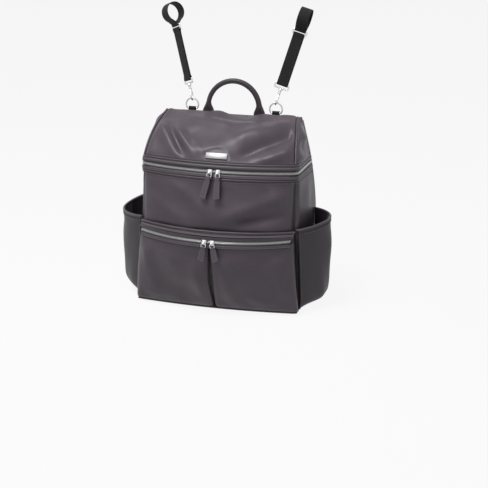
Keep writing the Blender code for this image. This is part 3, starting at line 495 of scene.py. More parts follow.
for word, sign in SIDES:
    side = cut_piece(44, 80, lambda u, v: gusset_skin(sign, u, FLOOR_TOP + (top - FLOOR_TOP) * v))
    finished(f"gusset_leather_{word}", side, LEATHER, "bag", (f"gusset_{word}",),
             LEATHER_THICK, open_sheet=True)
    # A dark cord in the seam's crease is painted shade.
    cord = swept(frames_along(seam_line(FLOOR_TOP, top, sign)), round_outline(0.0020))
    finished(f"body_seam_shade_{word}", cord, PAINTED_SHADE_LEATHER, "bag")


# --- Padded back panel and base -----------------------------------------------------------
# The back is foam under the same leather, sewn down in shallow channels so that it breathes.
# The base is a flat leather panel with a piped edge along its front.

BACK_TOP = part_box("back_panel")[1].z
CHANNELS = (0.085, 0.165, 0.245)                # heights of the sewn channels
CHANNEL_DEPTH, CHANNEL_WIDTH = 0.0040, 0.0045
CHANNEL_BOW = 0.02                              # how far their ends rise


def slab(across, along, layers, shape):
    """A closed slab of even quads bent by shape(u, v, w), each running 0 to 1."""
    bm = bmesh.new()
    bmesh.ops.create_cube(bm, size=1)
    for axis, cuts in ((0, across), (1, along), (2, layers)):
        edges = [e for e in bm.edges if abs(e.verts[0].co[axis] - e.verts[1].co[axis]) > 0.5]
        bmesh.ops.subdivide_edges(bm, edges=edges, cuts=cuts, use_grid_fill=True)
    for v in bm.verts:
        v.co = shape(*(c + 0.5 for c in v.co))
    return bm


def puffed(bm, voxel, pressure, most):
    """Foam under leather: an even mesh blown up as cloth, no point moving further than most."""
    scene = bpy.context.scene
    mesh = bpy.data.meshes.new("pad")
    bm.to_mesh(mesh)
    obj = bpy.data.objects.new("pad", mesh)
    scene.collection.objects.link(obj)
    even = obj.modifiers.new("even", "REMESH")
    even.mode = "VOXEL"
    even.voxel_size = voxel
    bpy.context.view_layer.update()
    start = bpy.data.meshes.new_from_object(
        obj.evaluated_get(bpy.context.evaluated_depsgraph_get()))
    obj.modifiers.clear()
    obj.data = start
    air = obj.modifiers.new("air", "CLOTH").settings
    air.use_pressure = True
    air.uniform_pressure_force = pressure
    air.effector_weights.gravity = 0
    for step in range(1, 21):
        scene.frame_set(step)
    blown = bpy.data.meshes.new_from_object(
        obj.evaluated_get(bpy.context.evaluated_depsgraph_get()))
    for v, old in zip(blown.vertices, start.vertices):
        move = v.co - old.co
        if move.length > most:
            v.co = old.co + move * (most / move.length)
    scene.frame_set(1)
    bpy.data.objects.remove(obj)
    bm.clear()
    bm.from_mesh(blown)
    bmesh.ops.subdivide_edges(bm, edges=bm.edges[:], cuts=1, use_grid_fill=True)
    for _ in range(4):
        bmesh.ops.smooth_vert(bm, verts=bm.verts, factor=0.5, use_axis_x=True, use_axis_y=True,
                              use_axis_z=True)
    for old in (mesh, start, blown):
        bpy.data.meshes.remove(old)
    return bm


def back_shape(u, v, w):
    z = FLOOR_TOP + (BACK_TOP - FLOOR_TOP) * v
    half = between(BACK, z)[0] + 0.002
    return Vector(((1 - 2 * u) * half, BAG_BACK - 0.0025 - 0.0070 * (1 - w), z))


def sew_channels(v):
    """Presses the sewn channels and the turned edges of the back into its padding."""
    x, y, z = v.co
    half = between(BACK, z)[0]
    dip = sum(math.exp(-((z - line - CHANNEL_BOW * (x / half)**2) / CHANNEL_WIDTH)**2)
              for line in CHANNELS)
    dip += math.exp(-(x / CHANNEL_WIDTH)**2) * ease((z - 0.05) / 0.02) * ease((0.28 - z) / 0.02)
    edge = min(half - abs(x), z - FLOOR_TOP, BACK_TOP - z)
    outer = ease((y - BACK_FRONT - 0.004) / 0.004)
    y = min(y, BAG_BACK - 0.0008) - outer * (CHANNEL_DEPTH * min(1.0, dip)
                                             + rolled(edge, 0.012, 0.0050))
    v.co.y = max(y, BACK_FRONT + 0.0004)
    v.co.x = math.copysign(min(abs(x), half - 0.0004), x)
    v.co.z = min(max(z, FLOOR_TOP + 0.0004), BACK_TOP - 0.0003)


back = puffed(slab(84, 92, 3, back_shape), 0.0055, 4, 0.005)
for v in back.verts:
    sew_channels(v)
back = finished("back_leather", back, LEATHER, "bag", ("back_panel",))


def binding_line():
    """Half of the turned edge round the back, from the middle of its foot to that of its top."""
    low, high = FLOOR_TOP + 0.0070, BACK_TOP - 0.0060
    foot, head = (between(BACK, z)[0] - BINDING_IN - BINDING_TURN for z in (low, high))
    line = [(foot * i / 20, FLOOR_TOP + 0.0022) for i in range(20)]
    line += [(foot + BINDING_TURN * math.cos(a), low + 0.0048 * math.sin(a))
             for a in (math.pi / 2 * (i / 6 - 1) for i in range(7))]
    line += [(between(BACK, z)[0] - BINDING_IN, z)
             for z in (low + (high - low) * i / 60 for i in range(1, 60))]
    line += [(head + BINDING_TURN * math.cos(a), high + 0.0045 * math.sin(a))
             for a in (math.pi / 2 * i / 6 for i in range(7))]
    line += [(head * (1 - i / 20), line[-1][1]) for i in range(1, 21)]
    return [Vector((x, BAG_BACK - 0.0062, z)) for x, z in line]


BINDING_IN, BINDING_TURN = 0.0022, 0.0060       # in from the back's side; reach of its corners
outline = binding_line()
outline += [Vector((-at.x, at.y, at.z)) for at in reversed(outline[1:-1])]
# The binding is painted paler all over as a highlight on its rolled edge.
edge = swept(frames_along(outline, Vector((0, 1, 0)), True),
             soft_outline(0.0058, 0.0026, sides=18, square=0.7), True, wear_and_highlight_paling=0.4)
finished("back_binding", edge, LEATHER, "bag")
back_rows = []
for line in CHANNELS:
    row = []
    for i in range(-60, 61):
        x = 0.150 * i / 60
        z = line + CHANNEL_BOW * (x / between(BACK, line)[0])**2
        row.append((Vector((x, BAG_BACK - CHANNEL_DEPTH - 0.0004, z)), Vector((0, 1, 0)),
                    Vector((0, 0, 1))))
    back_rows.append(row)

# Height, half width, depth of the side wall and forward bow of the front pocket's face.
POCKET = [(0.005, 0.1605, 0.130, 0.012), (0.070, 0.155, 0.139, 0.036),
          (0.149, 0.1485, 0.136, 0.049), (0.165, 0.1485, 0.131, 0.046)]


def base_skin(u, v):
    """The underside: its sides and front turn up a little to the seams."""
    x = (2 * u - 1) * (POCKET[0][1] - 0.004)
    front_y = wall_point(POCKET, 2 * u - 1, POCKET[0][0]).y + 0.0045
    depth = BAG_BACK - 0.003 - front_y
    edge = min(u * 0.31, (1 - u) * 0.31, v * depth, (1 - v) * depth)
    return Vector((x, front_y + depth * v, 0.0005 + rolled(edge, 0.005, 0.0035)))


finished("base_leather", cut_piece(60, 40, base_skin), LEATHER, "bag",
         ("base_panel",), 0.0035, open_sheet=True)
edge = [base_skin(1, i / 40) for i in range(40, 0, -1)]
edge += [base_skin(1 - i / 90, 0) for i in range(91)] + [base_skin(0, i / 40) for i in range(1, 41)]
finished("base_piping", swept(frames_along(edge, Vector((0, 0, 1))), round_outline(PIPING)),
         LEATHER, "bag")


# --- Lining, floor board and slip pocket --------------------------------------------------
# A dark woven lining hangs in the body and closes round a stiff board. A slip pocket for wipes
# is sewn to its back, with a turned hem along its mouth.

def banded(nodes, at, direction, scale, distortion=0.0):
    return nodes.add("ShaderNodeTexWave", {"wave_type": "BANDS", "bands_direction": direction},
                     {"Vector": at, "Scale": scale, "Distortion": distortion}, "Fac")


def woven(name, low, high, roughness, pitch=0.0011):
    """Plain-woven cloth with its threads along X, Y and Z."""
    material, nodes, at = new_material(name)
    weave = banded(nodes, at, "Z", 0.314 / pitch).most(banded(nodes, at, "DIAGONAL", 0.22 / pitch))
    mottle = noisy(nodes, at, 60.0, 3.0)
    colour = blended(nodes, weave * 0.6 + mottle * 0.4, low, high)
    shaded(nodes, {
        "Base Color": colour, "Roughness": mottle * 0.1 + roughness,
        "Normal": raised(nodes, weave, 0.00012), "Sheen Weight": 0.2})
    return material


LINING_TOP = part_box("lining")[1].z
BOARD_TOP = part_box("base_board")[1].z
CLOTH = woven("dark lining", (0.030, 0.030, 0.034, 1), (0.075, 0.075, 0.082, 1), 0.7)


def lining_skin(u, v):
    """Once round the inside of the body, a little behind its outer panels."""
    z = BOARD_TOP + (LINING_TOP - BOARD_TOP) * v
    quarter, t = divmod(min(u, 0.99999) * 4, 1)
    inset = 0.0062
    sag = ripple(Vector((u * 5, 0, z * 4)), 0.3, 0.0012)
    left, right = gusset_point(-1, 0, z), gusset_point(1, 0, z)
    y = left.y + inset
    rear = BACK_FRONT - 0.0012
    if quarter == 0:
        at = wall_point(BODY, 2 * t - 1, z, -inset)
        return Vector((at.x * 0.95, max(at.y, wall_point(BODY, 0, z).y + inset) + sag, z))
    if quarter == 1:
        side = gusset_point(1, t, z)
        return Vector((side.x - inset - 0.012 * (1 - t)**4, y + (rear - y) * t, z))
    if quarter == 2:
        return Vector(((gusset_point(1, 1, z).x - inset) * (1 - 2 * t), rear, z))
    side = gusset_point(-1, 1 - t, z)
    return Vector((side.x + inset + 0.012 * t**4, rear + (y - rear) * t, z))


inside = cut_piece(160, 40, lining_skin)
bmesh.ops.remove_doubles(inside, verts=inside.verts, dist=0.0005)
finished("lining_cloth", inside, CLOTH, "bag", ("lining",), 0.0008,
         open_sheet=True)

slip_low, slip_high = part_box("inner_pocket")


def slip_pocket_skin(u, v):
    """The slip pocket's face, eased out from the back lining, with a thicker hem at its top."""
    half = slip_high.x
    x = (2 * u - 1) * half
    out = (slip_high.y - slip_low.y) * ease((1 - abs(2 * u - 1)) / 0.06)
    hem = 0.0006 * ease((v - 0.93) / 0.01)
    sag = -0.004 * math.sin(math.pi * u) * v**4
    return Vector((x, slip_high.y - out - hem, slip_low.z + (slip_high.z - slip_low.z) * v + sag))


finished("slip_pocket", cut_piece(60, 40, slip_pocket_skin), CLOTH, "bag",
         ("inner_pocket",), 0.0010, open_sheet=True)

frame["nodes"]["base_board"].data.materials.clear()
frame["nodes"]["base_board"].data.materials.append(CLOTH)


# --- Lid ----------------------------------------------------------------------------------
# One soft leather panel slopes from the main zip up to the ridge, where it turns over to the
# back. It is unstiffened, so it lies in soft folds; piping runs up both of its side seams.

RIDGE_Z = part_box("lid_panel")[1].z
LID_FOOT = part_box("lid_panel")[0].z
RIDGE_HALF = 0.131
RIDGE_SHARE = 0.95                              # share of the panel that lies before the ridge
CREST_DEPTH, CREST_BOW, CREST_Z, CREST_LIFT = 0.092, 0.022, 0.338, 0.006


def lid_point(side, v):
    """The lid's slope before its folds: v is 0 at the zip and 1 at the ridge."""
    swell = 1 - side**2
    low = wall_point(BODY, side, ZIP_Z)
    low.z = LID_FOOT
    crest_half = (abs(wall_point(BODY, 1, ZIP_Z).x) + RIDGE_HALF) / 2 + 0.004
    crest = Vector((side * crest_half, BAG_BACK - CREST_DEPTH - CREST_BOW * swell,
                    CREST_Z + CREST_LIFT * swell))
    high = Vector((side * RIDGE_HALF, BACK_FRONT - 0.003 - 0.003 * swell, RIDGE_Z))
    return low * (1 - v)**2 + crest * 2 * v * (1 - v) + high * v**2


# Each fold runs from one (side, share of the slope) to another, with a width and a height.
LID_FOLDS = [((-0.95, 0.66), (-0.55, 0.15), 0.085, 0.0060),
             ((-0.80, 0.62), (-0.46, 0.17), 0.050, -0.0052),
             ((-0.66, 0.58), (-0.34, 0.20), 0.060, 0.0052),
             ((-0.40, 0.44), (-0.22, 0.20), 0.060, 0.0022),
             ((0.30, 0.20), (0.94, 0.56), 0.090, -0.0085),
             ((0.18, 0.42), (0.90, 0.80), 0.110, 0.0062),
             ((0.55, 0.10), (0.97, 0.30), 0.080, 0.0054),
             ((-0.20, 0.88), (0.55, 0.86), 0.060, -0.0036),
             ((-0.60, 0.84), (0.05, 0.72), 0.080, 0.0034)]
RIDGE_SAG = 0.0062                              # how far the ridge sags between the handle's ends
LID_SEAM = {-1: 0.0020, 1: 0.0050}              # how far the side seams lie in from the corner


def lid_skin(u, w):
    side = 2 * u - 1
    inset = LID_SEAM[-1] + (LID_SEAM[1] - LID_SEAM[-1]) * u
    if w > RIDGE_SHARE:
        turn = (w - RIDGE_SHARE) / (1 - RIDGE_SHARE) * math.pi * 0.75
        at = lid_point(side * (1 - inset / RIDGE_HALF), 1)
        at += Vector((0, 0.0042 * math.sin(turn / 2) * 1.2, -0.0062 * (1 - math.cos(turn)) / 1.7))
        v = 1.0
    else:
        v = w / RIDGE_SHARE
        at = lid_point(side * (1 - inset / RIDGE_HALF), v)
    above = min(v + 0.01, 1)
    rise = lid_point(side, above) - lid_point(side, above - 0.02)
    normal = Vector((1, 0, 0)).cross(rise).normalized()
    half = wall_point(BODY, 1, ZIP_Z).x
    calm = ease((v - 0.05) / 0.10) * ease((1 - abs(side)) * half / 0.014)
    lift = creases(side, v, LID_FOLDS) * ease((1.04 - v) / 0.1)
    lift += ripple(at, 0.070, 0.0050, 11.3) + ripple(at, 0.028, 0.0020, 4.4)
    lift *= ease((math.hypot(side / 0.17, (v - 0.17) / 0.12) - 0.75) / 0.5)
    at += normal * lift * calm
    at -= normal * rolled((1 - abs(side)) * half, 0.009, 0.0050)
    at.z += ripple(Vector((at.x, 0, 0)), 0.045, 0.0030, 2.2) * ease((v - 0.75) / 0.25)
    at.z -= RIDGE_SAG * math.exp(-((at.x - 0.014) / 0.030)**4) * ease((v - 0.70) / 0.30)
    return at


finished("lid_leather", cut_piece(150, 110, lid_skin, wear_and_highlight_paling=0.03), LEATHER, "lid",
         ("lid_panel",), LEATHER_THICK, open_sheet=True)


def lid_lining_skin(u, v):
    """The lining behind the leather, from the zip's tape to the ridge."""
    at = lid_skin(0.015 + 0.97 * u, (0.05 + 0.85 * v) * RIDGE_SHARE)
    inward = (Vector((at.x * 0.6, BACK_FRONT, LID_FOOT)) - at).normalized()
    return at + inward * 0.0045


finished("lid_lining", cut_piece(60, 40, lid_lining_skin), CLOTH, "lid")


def lid_side_point(sign, t, v):
    """A side of the lid: t is 0 at its front seam and 1 at the back, v runs up the seam."""
    edge = lid_point(sign, v)
    rear = between(BACK, edge.z)[0]
    swell = 0.005 * math.sin(math.pi * t) * math.sin(math.pi * min(1.0, v))
    return Vector((edge.x + sign * ((rear - abs(edge.x)) * t + swell),
                   edge.y + (BACK_FRONT - edge.y) * t, edge.z))


def lid_side_skin(sign, u, w):
    v = w * 0.97
    depth = BACK_FRONT - lid_point(sign, v).y
    t = min(0.9, 0.0050 / depth)
    t += (1 - t) * u
    at = lid_side_point(sign, t, v)
    calm = math.sin(math.pi * t) * ease(v / 0.12)
    lift = 0.0026 * math.sin(at.z * 170 + t * 2.5 + sign) + ripple(at, 0.03, 0.003, 5.0 + sign)
    at.x += sign * (lift * calm - rolled(u * depth, 0.008, LID_SEAM[sign] + 0.0005))
    return at


for word, sign in SIDES:
    side = cut_piece(44, 60, lambda u, v: lid_side_skin(sign, u, v))
    finished(f"lid_gusset_leather_{word}", side, LEATHER, "lid",
             (f"lid_gusset_{word}",), LEATHER_THICK, open_sheet=True)
    inside = Vector((-sign * (LID_SEAM[sign] - 0.0008), 0.0026, -0.0012))
    line = [lid_point(sign, i / 60 * 0.98) + inside for i in range(61)]
    # The piping is painted paler as a highlight along its round edge.
    finished(f"lid_piping_{word}", swept(frames_along(line), round_outline(0.0020), wear_and_highlight_paling=0.7),
             LEATHER, "lid")
    # A dark strip beside the piping is painted shade in the seam's crease.
    line = [at + Vector((-sign * 0.0006, 0.0040, -0.0012)) for at in line]
    finished(f"lid_seam_shade_{word}", swept(frames_along(line), round_outline(0.0016)), PAINTED_SHADE_LEATHER,
             "lid")


# The leather turns down behind the ridge and is sewn to the top of the back panel.

def ridge_fold_skin(u, v):
    """From the ridge's turned edge (v = 0) to the back's top (v = 1)."""
    start = lid_skin(u, 1)
    foot = Vector((start.x, BACK_FRONT + 0.0035, BACK_TOP - 0.0045))
    return start.lerp(foot, v) + Vector((0, 0, -0.0016 * math.sin(math.pi * v)))


# The fold is cut from the darkest leather as painted shade behind the ridge.
fold = cut_piece(80, 6, ridge_fold_skin)
finished("ridge_fold", fold, PAINTED_SHADE_LEATHER, ("bag", "lid", (0, BACK_FRONT + 0.004, BACK_TOP),
                                      (0, BACK_FRONT - 0.003, BACK_TOP)),
         thick=0.0012, open_sheet=True)


# --- Main zip -----------------------------------------------------------------------------
# A heavy metal zip runs round both sides and the front. Each half is a woven tape with bright
# nickel teeth, set under a folded leather welt with two rows of thread.

TOOTH_PITCH = 0.0042
STITCH_PITCH = 0.0046


def metal(name, tones, roughness):
    """Plated metal with a faint cloud, fine scratches and smoother worn spots."""
    material, nodes, at = new_material(name)
    cloud = noisy(nodes, at, 240.0, 3.0)
    stretch = nodes.add("ShaderNodeMapping", {}, {"Vector": at, "Scale": (300, 300, 4000)})
    scratches = noisy(nodes, stretch, 1.0, 2.0)
    colour = blended(nodes, cloud * 0.7 + scratches * 0.3, *tones)
    rough = cloud * 0.14 + scratches * 0.05 + (roughness - 0.1)
    shaded(nodes, {
        "Base Color": colour, "Metallic": 1.0, "Roughness": rough,
        "Normal": raised(nodes, scratches, 0.00002)})
    return material


def threads(name, tones):
    """Waxed sewing thread, twisted."""
    material, nodes, at = new_material(name)
    twist = noisy(nodes, at, 1800.0, 2.0)
    shaded(nodes, {
        "Base Color": blended(nodes, twist, *tones), "Roughness": twist * 0.1 + 0.5,
        "Normal": raised(nodes, twist, 0.0001)})
    return material


NICKEL = metal("bright nickel", ((0.52, 0.52, 0.54, 1), (0.80, 0.80, 0.80, 1)), 0.26)
TEETH = metal("zip nickel", ((0.30, 0.30, 0.305, 1), (0.74, 0.74, 0.75, 1)), 0.30)
THREAD = threads("mauve thread", ((0.16, 0.14, 0.16, 1), (0.30, 0.27, 0.30, 1)))
TAPE = woven("zip tape", (0.020, 0.018, 0.021, 1), (0.050, 0.045, 0.050, 1), 0.75, 0.0008)


def lid_share(z):
    """The share of the lid's slope at which its middle is at height z."""
    low, crest, high = LID_FOOT, CREST_Z + CREST_LIFT / 2, RIDGE_Z
    a, b, c = low - 2 * crest + high, 2 * (crest - low), low - z
    return (-b + math.sqrt(b * b - 4 * a * c)) / (2 * a)


def bag_outline(z):
    """A line round the left side, the front and the right side of the bag at height z."""
    def side_at(sign, t):
        if z > LID_FOOT:
            return lid_side_point(sign, t, lid_share(z))
        return gusset_point(sign, t, z)

    def front_at(side):
        if z > LID_FOOT:
            return lid_point(side, lid_share(z))
        return wall_point(BODY, side, z)
    sides, across = 32, 92
    line = [side_at(-1, 1 - i / sides) for i in range(sides)]
    line += [front_at(2 * i / across - 1) for i in range(across)]
    line += [side_at(1, i / sides) for i in range(sides + 1)]
    for _ in range(9):
        line = ([line[0]] + [a * 0.25 + b * 0.5 + c * 0.25
                             for a, b, c in zip(line, line[1:], line[2:])] + [line[-1]])
    return line


def skin_frames(z, outline=bag_outline, middle=ZIP_Z, step=0.003):
    """Frames along the skin at height z: out stands off the skin, up runs up it."""
    here = outline(z)
    other = outline(z + step if z > middle else z - step)
    frames = []
    for i, at in enumerate(here):
        along = (here[min(i + 1, len(here) - 1)] - here[max(i - 1, 0)]).normalized()
        up = (other[i] - at) * (1 if z > middle else -1)
        up = (up - along * up.dot(along)).normalized()
        frames.append((at, along.cross(up).normalized(), up))
    return frames


def spaced(frames, pitch, start=0.0):
    """Frames at even spacing along a line of frames."""
    placed = []
    want = start
    run = 0.0
    for (a, out_a, up_a), (b, out_b, up_b) in zip(frames, frames[1:]):
        length = (b - a).length
        while want <= run + length:
            t = (want - run) / length
            placed.append((a.lerp(b, t), out_a.lerp(out_b, t).normalized(),
                           up_a.lerp(up_b, t).normalized()))
            want += pitch
        run += length
    return placed


def joined(*meshes):
    """Puts several bmeshes in the first one."""
    first = meshes[0]
    for other in meshes[1:]:
        mesh = bpy.data.meshes.new("part")
        other.to_mesh(mesh)
        other.free()
        first.from_mesh(mesh)
        bpy.data.meshes.remove(mesh)
    return first


def set_at(at, out, up, size):
    """Matrix that sets a unit shape at a frame: size is (along, up, out)."""
    turn = Matrix((up.cross(out), up, out)).transposed().to_4x4()
    return Matrix.Translation(at) @ turn @ Matrix.Diagonal((*size, 1))


def stitched(name, rows, body, pitch=STITCH_PITCH, size=(0.0033, 0.0010)):
    """Rows of thread stitches, each row a line of frames that lie on the leather."""
    bm = bmesh.new()
    length, width = size
    for row in rows:
        for at, out, up in spaced(row, pitch, pitch / 2):
            bmesh.ops.create_icosphere(bm, subdivisions=1, radius=1, matrix=set_at(
                at, out, up, (length / 2, width / 2, width * 0.45)))
    return finished(name, bm, THREAD, body, sharp=180)


stitched("back_stitching", back_rows, "bag", pitch=0.0052, size=(0.0036, 0.0011))


def offset(frames, out, up=0.0):
    return [(at + way * out + rise * up, way, rise) for at, way, rise in frames]


def add_teeth(name, frames, way, body, node):
    """One half of a zip chain: bevelled nickel teeth that reach just past the middle."""
    bm = bmesh.new()
    start = TOOTH_PITCH * (0.75 if way > 0 else 0.25)
    for at, out, up in spaced(frames, TOOTH_PITCH, start):
        middle = at + up * way * 0.0010 + out * 0.0006
        bmesh.ops.create_cube(bm, size=1, matrix=set_at(middle, out, up,
                                                        (0.0016, 0.0030, 0.0022)))
    bmesh.ops.bevel(bm, geom=bm.edges[:], offset=0.0003, segments=1, profile=0.5,
                    affect="EDGES", material=-1)
    finished(name, bm, TEETH, body, (node,), sharp=30)


WELT_UP, GROOVE_UP, BEAD_UP = 0.0083, 0.0115, 0.0137        # from the chain's middle


def add_zip_half(prefix, z, way, frames_at, body, node, teeth_at, beaded=True):
    """Tape, teeth, folded welt and stitching of one half; way is 1 above the chain."""
    where = "upper" if way > 0 else "lower"
    tape = swept(offset(frames_at(z + way * 0.0001), -0.0006),
                 soft_outline(0.0005, 0.0040, 0, way * 0.0043, 12, 0.3))
    finished(f"{prefix}_tape_{where}", tape, TAPE, body)
    add_teeth(f"{prefix}_teeth_{where}", teeth_at, way, body, node)
    welt_at = frames_at(z + way * WELT_UP)
    welt = swept(welt_at, soft_outline(0.0017, 0.0028, 0.0008, 0, 18, 0.6))
    finished(f"{prefix}_welt_{where}", welt, LEATHER, body)
    rows = [offset(welt_at, 0.0024, way * 0.0010)]
    shade_strip_heights = [GROOVE_UP]
    if beaded:
        # The bead is painted paler along its length as a highlight on its ridge.
        bead = swept(frames_at(z + way * BEAD_UP), round_outline(0.0019, 12), wear_and_highlight_paling=0.8)
        finished(f"{prefix}_bead_{where}", bead, LEATHER, body)
        shade_strip_heights.append(BEAD_UP + 0.0023)
        rows.append(offset(frames_at(z + way * (BEAD_UP + 0.0048)), 0.0009))
    # Dark strips of painted shade lie in the grooves beside the welt and the bead.
    dark = joined(*(swept(frames_at(z + way * up), soft_outline(0.0008, 0.0007, 0.0004))
                    for up in shade_strip_heights))
    finished(f"{prefix}_groove_{where}", dark, PAINTED_SHADE_LEATHER, body)
    stitched(f"{prefix}_stitching_{where}", rows, body)


chain = skin_frames(ZIP_Z)
for way, body, node in ((1, "lid", "main_zip_upper"), (-1, "bag", "main_zip_lower")):
    add_zip_half("main_zip", ZIP_Z, way, skin_frames, body, node, chain)


# --- Name plate ---------------------------------------------------------------------------
# A small blank plate of bright nickel, held to the lid by two prongs that are bent behind it.

low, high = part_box("name_plate")
up = (lid_point(0, 0.19) - lid_point(0, 0.15)).normalized()
out = Vector((1, 0, 0)).cross(up)
plate = bmesh.new()
bmesh.ops.create_cube(plate, size=1, matrix=set_at((low + high) / 2 + out * 0.0006, out, up,
                                                   (high.x - low.x, 0.012, 0.0014)))
bmesh.ops.bevel(plate, geom=plate.edges[:], offset=0.0006, segments=2, profile=0.5,
                affect="EDGES", material=-1)
SATIN = metal("satin nickel", ((0.155, 0.150, 0.155, 1), (0.265, 0.257, 0.265, 1)), 0.42)
finished("blank_plate", plate, SATIN, "lid", ("name_plate",), sharp=40)


# --- Front pocket -------------------------------------------------------------------------
# A box pocket stands out from the front. Its face is two leather panels that meet at an
# inverted pleat; a yoke above its zip is sewn back to the body and ends in a rolled seam.

YOKE_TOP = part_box("pocket_band")[1].z - 0.001
POCKET_FOOT = FLOOR_TOP + 0.0003
POCKET_TOP = POCKET_ZIP_Z - 0.0045
PLEAT_NARROW, PLEAT_WIDE = 0.0006, 0.0028       # half of the pleat's gap at its ends and middle


def yoke_point(side, z):
    """The pocket's face; above its zip it leans back to the body."""
    at = wall_point(POCKET, side, z)
    rise = max(0.0, (z - POCKET_ZIP_Z - 0.003) / (YOKE_TOP - POCKET_ZIP_Z - 0.003))
    body = wall_point(BODY, at.x / between(BODY, z)[0], z)
    at.y += (body.y - 0.0050 - at.y) * min(1.0, rise)**1.8
    return at


def yoke_skin(u, v):
    side = 2 * u - 1
    z = POCKET_ZIP_Z + 0.0042 + (YOKE_TOP - POCKET_ZIP_Z - 0.0042) * v
    at = yoke_point(side, z)
    at.y -= ripple(at, 0.04, 0.0016, 6.0) * math.sin(math.pi * v)
    return at


finished("pocket_yoke", cut_piece(110, 12, yoke_skin), LEATHER, "bag",
         ("pocket_band",), 0.0018, open_sheet=True)
line = []
for i in range(-60, 61):
    wave = ripple(Vector((i, 0, 0)), 9, 0.0012)
    line.append(yoke_point(i / 60, YOKE_TOP) + Vector((0, 0.0008 - wave, 0)))
roll = swept(frames_along(line), soft_outline(0.0030, 0.0026, sides=14, square=0.85))
finished("pocket_yoke_roll", roll, LEATHER, "bag")
# A dark strip behind the roll is painted shadow where the yoke meets the body.
gap = swept(frames_along([at + Vector((0, 0.0040, 0)) for at in line]),
            soft_outline(0.0030, 0.0010, sides=10))
finished("pocket_yoke_shadow", gap, PAINTED_SHADE_LEATHER, "bag")

# (across, height) ends of each fold of the pocket's face, with width and height.
POCKET_FOLDS = [((-0.140, 0.120), (-0.115, 0.040), 0.014, 0.0026),
                ((-0.118, 0.135), (-0.070, 0.095), 0.013, 0.0016),
                ((-0.030, 0.110), (-0.022, 0.030), 0.012, 0.0022),
                ((0.026, 0.120), (0.034, 0.030), 0.013, 0.0024),
                ((0.060, 0.138), (0.105, 0.104), 0.012, -0.0016),
                ((0.124, 0.125), (0.136, 0.040), 0.012, 0.0024),
                ((0.070, 0.040), (0.120, 0.018), 0.012, 0.0018),
                ((-0.120, 0.020), (-0.060, 0.034), 0.013, 0.0016)]


def pleat_half(z):
    share = (z - POCKET_FOOT) / (POCKET_TOP - POCKET_FOOT)
    return PLEAT_NARROW + (PLEAT_WIDE - PLEAT_NARROW) * math.sin(math.pi * share**0.85)**2


def pocket_skin(sign, u, v):
    """One half of the pocket's face, from the pleat to its side seam."""
    z = POCKET_FOOT + (POCKET_TOP - POCKET_FOOT) * v
    half = between(POCKET, z)[0]
    inner = pleat_half(z) / half
    side = inner + (1 - inner) * u
    at = wall_point(POCKET, sign * side, z)
    from_pleat, from_seam = (side - inner) * half, (1 - side) * half
    calm = (ease(from_pleat / 0.02) * ease(from_seam / 0.02) * ease((POCKET_TOP - 0.013 - z) / 0.02)
            * ease((z - POCKET_FOOT) / 0.02))
    lift = 1.5 * creases(at.x, z, POCKET_FOLDS) + ripple(at, 0.060, 0.0060, 9.0 + sign)
    lift += 0.0012 * math.sin(at.x * 150 + z * 40) * ease((0.05 - z) / 0.05)
    at.y -= lift * calm
    at.y += (rolled(from_pleat, 0.010, 0.0080) * ease((POCKET_TOP - z) / 0.02)
             + rolled(from_seam, 0.011, 0.0070) + rolled(z - POCKET_FOOT, 0.010, 0.0050))
    return at


def pleat_skin(u, v):
    z = POCKET_FOOT + (POCKET_TOP - 0.004 - POCKET_FOOT) * v
    at = wall_point(POCKET, (2 * u - 1) * 0.022 / between(POCKET, z)[0], z, -0.0100)
    at.y += 0.0022 * math.exp(-(at.x / 0.003)**2)
    return at


def pocket_side_skin(sign, u, v):
    """The pocket's side wall, from its seam on the body (u = 0) to the face (u = 1)."""
    z = POCKET_FOOT + (POCKET_TOP - POCKET_FOOT) * v
    x = min(between(BODY, z)[0], between(POCKET, z)[0] - 0.003) - 0.0012
    rear = wall_point(BODY, x / between(BODY, z)[0], z).y - 0.0010
    front = wall_point(POCKET, x / between(POCKET, z)[0], z).y + 0.0068
    sink = 0.0018 * math.sin(math.pi * u) * math.sin(math.pi * v)
    return Vector((sign * (x - sink), rear + (front - rear) * u, z))


def yoke_end_skin(sign, u, v):
    """The yoke's side, between the body (u = 0) and its face (u = 1)."""
    z = POCKET_TOP + 0.0004 + (YOKE_TOP + 0.0008 - POCKET_TOP) * v
    front = yoke_point(0.988, z)
    rear = wall_point(BODY, min(1.0, front.x / between(BODY, z)[0]), z).y
    return Vector((sign * front.x, rear + (front.y - rear) * u, z))


for word, sign in SIDES:
    face = cut_piece(84, 84, lambda u, v: pocket_skin(sign, u, v), wear_and_highlight_paling=0.04)
    finished(f"pocket_leather_{word}", face, LEATHER, "pocket_front",
             (f"pocket_panel_{word}",), LEATHER_THICK, open_sheet=True)
    wall = cut_piece(12, 50, lambda u, v: pocket_side_skin(sign, u, v))
    rear = pocket_side_skin(sign, 0, 0.5)
    front = pocket_side_skin(sign, 1, 0.5)
    # The pocket's side walls and the yoke's ends are painted darker as shade.
    finished(f"pocket_wall_{word}", wall, SHADED_LEATHER_COPY, ("bag", "pocket_front", rear, front),
             (f"pocket_side_{word}",), open_sheet=True)
    end = cut_piece(10, 10, lambda u, v: yoke_end_skin(sign, u, v))
    finished(f"pocket_yoke_end_{word}", end, SHADED_LEATHER_COPY, "bag", thick=0.0012,
             open_sheet=True)
# The pleat's underlay is cut from the darkest leather as painted shade inside the pleat.
finished("pleat_underlay", cut_piece(16, 40, pleat_skin), PAINTED_SHADE_LEATHER, "pocket_front",
         ("pocket_pleat",), open_sheet=True)


def pocket_outline(z):
    return [yoke_point(0.97 * side / 110, z) for side in range(-110, 111)]


def pocket_frames(z):
    return skin_frames(z, pocket_outline, POCKET_ZIP_Z)


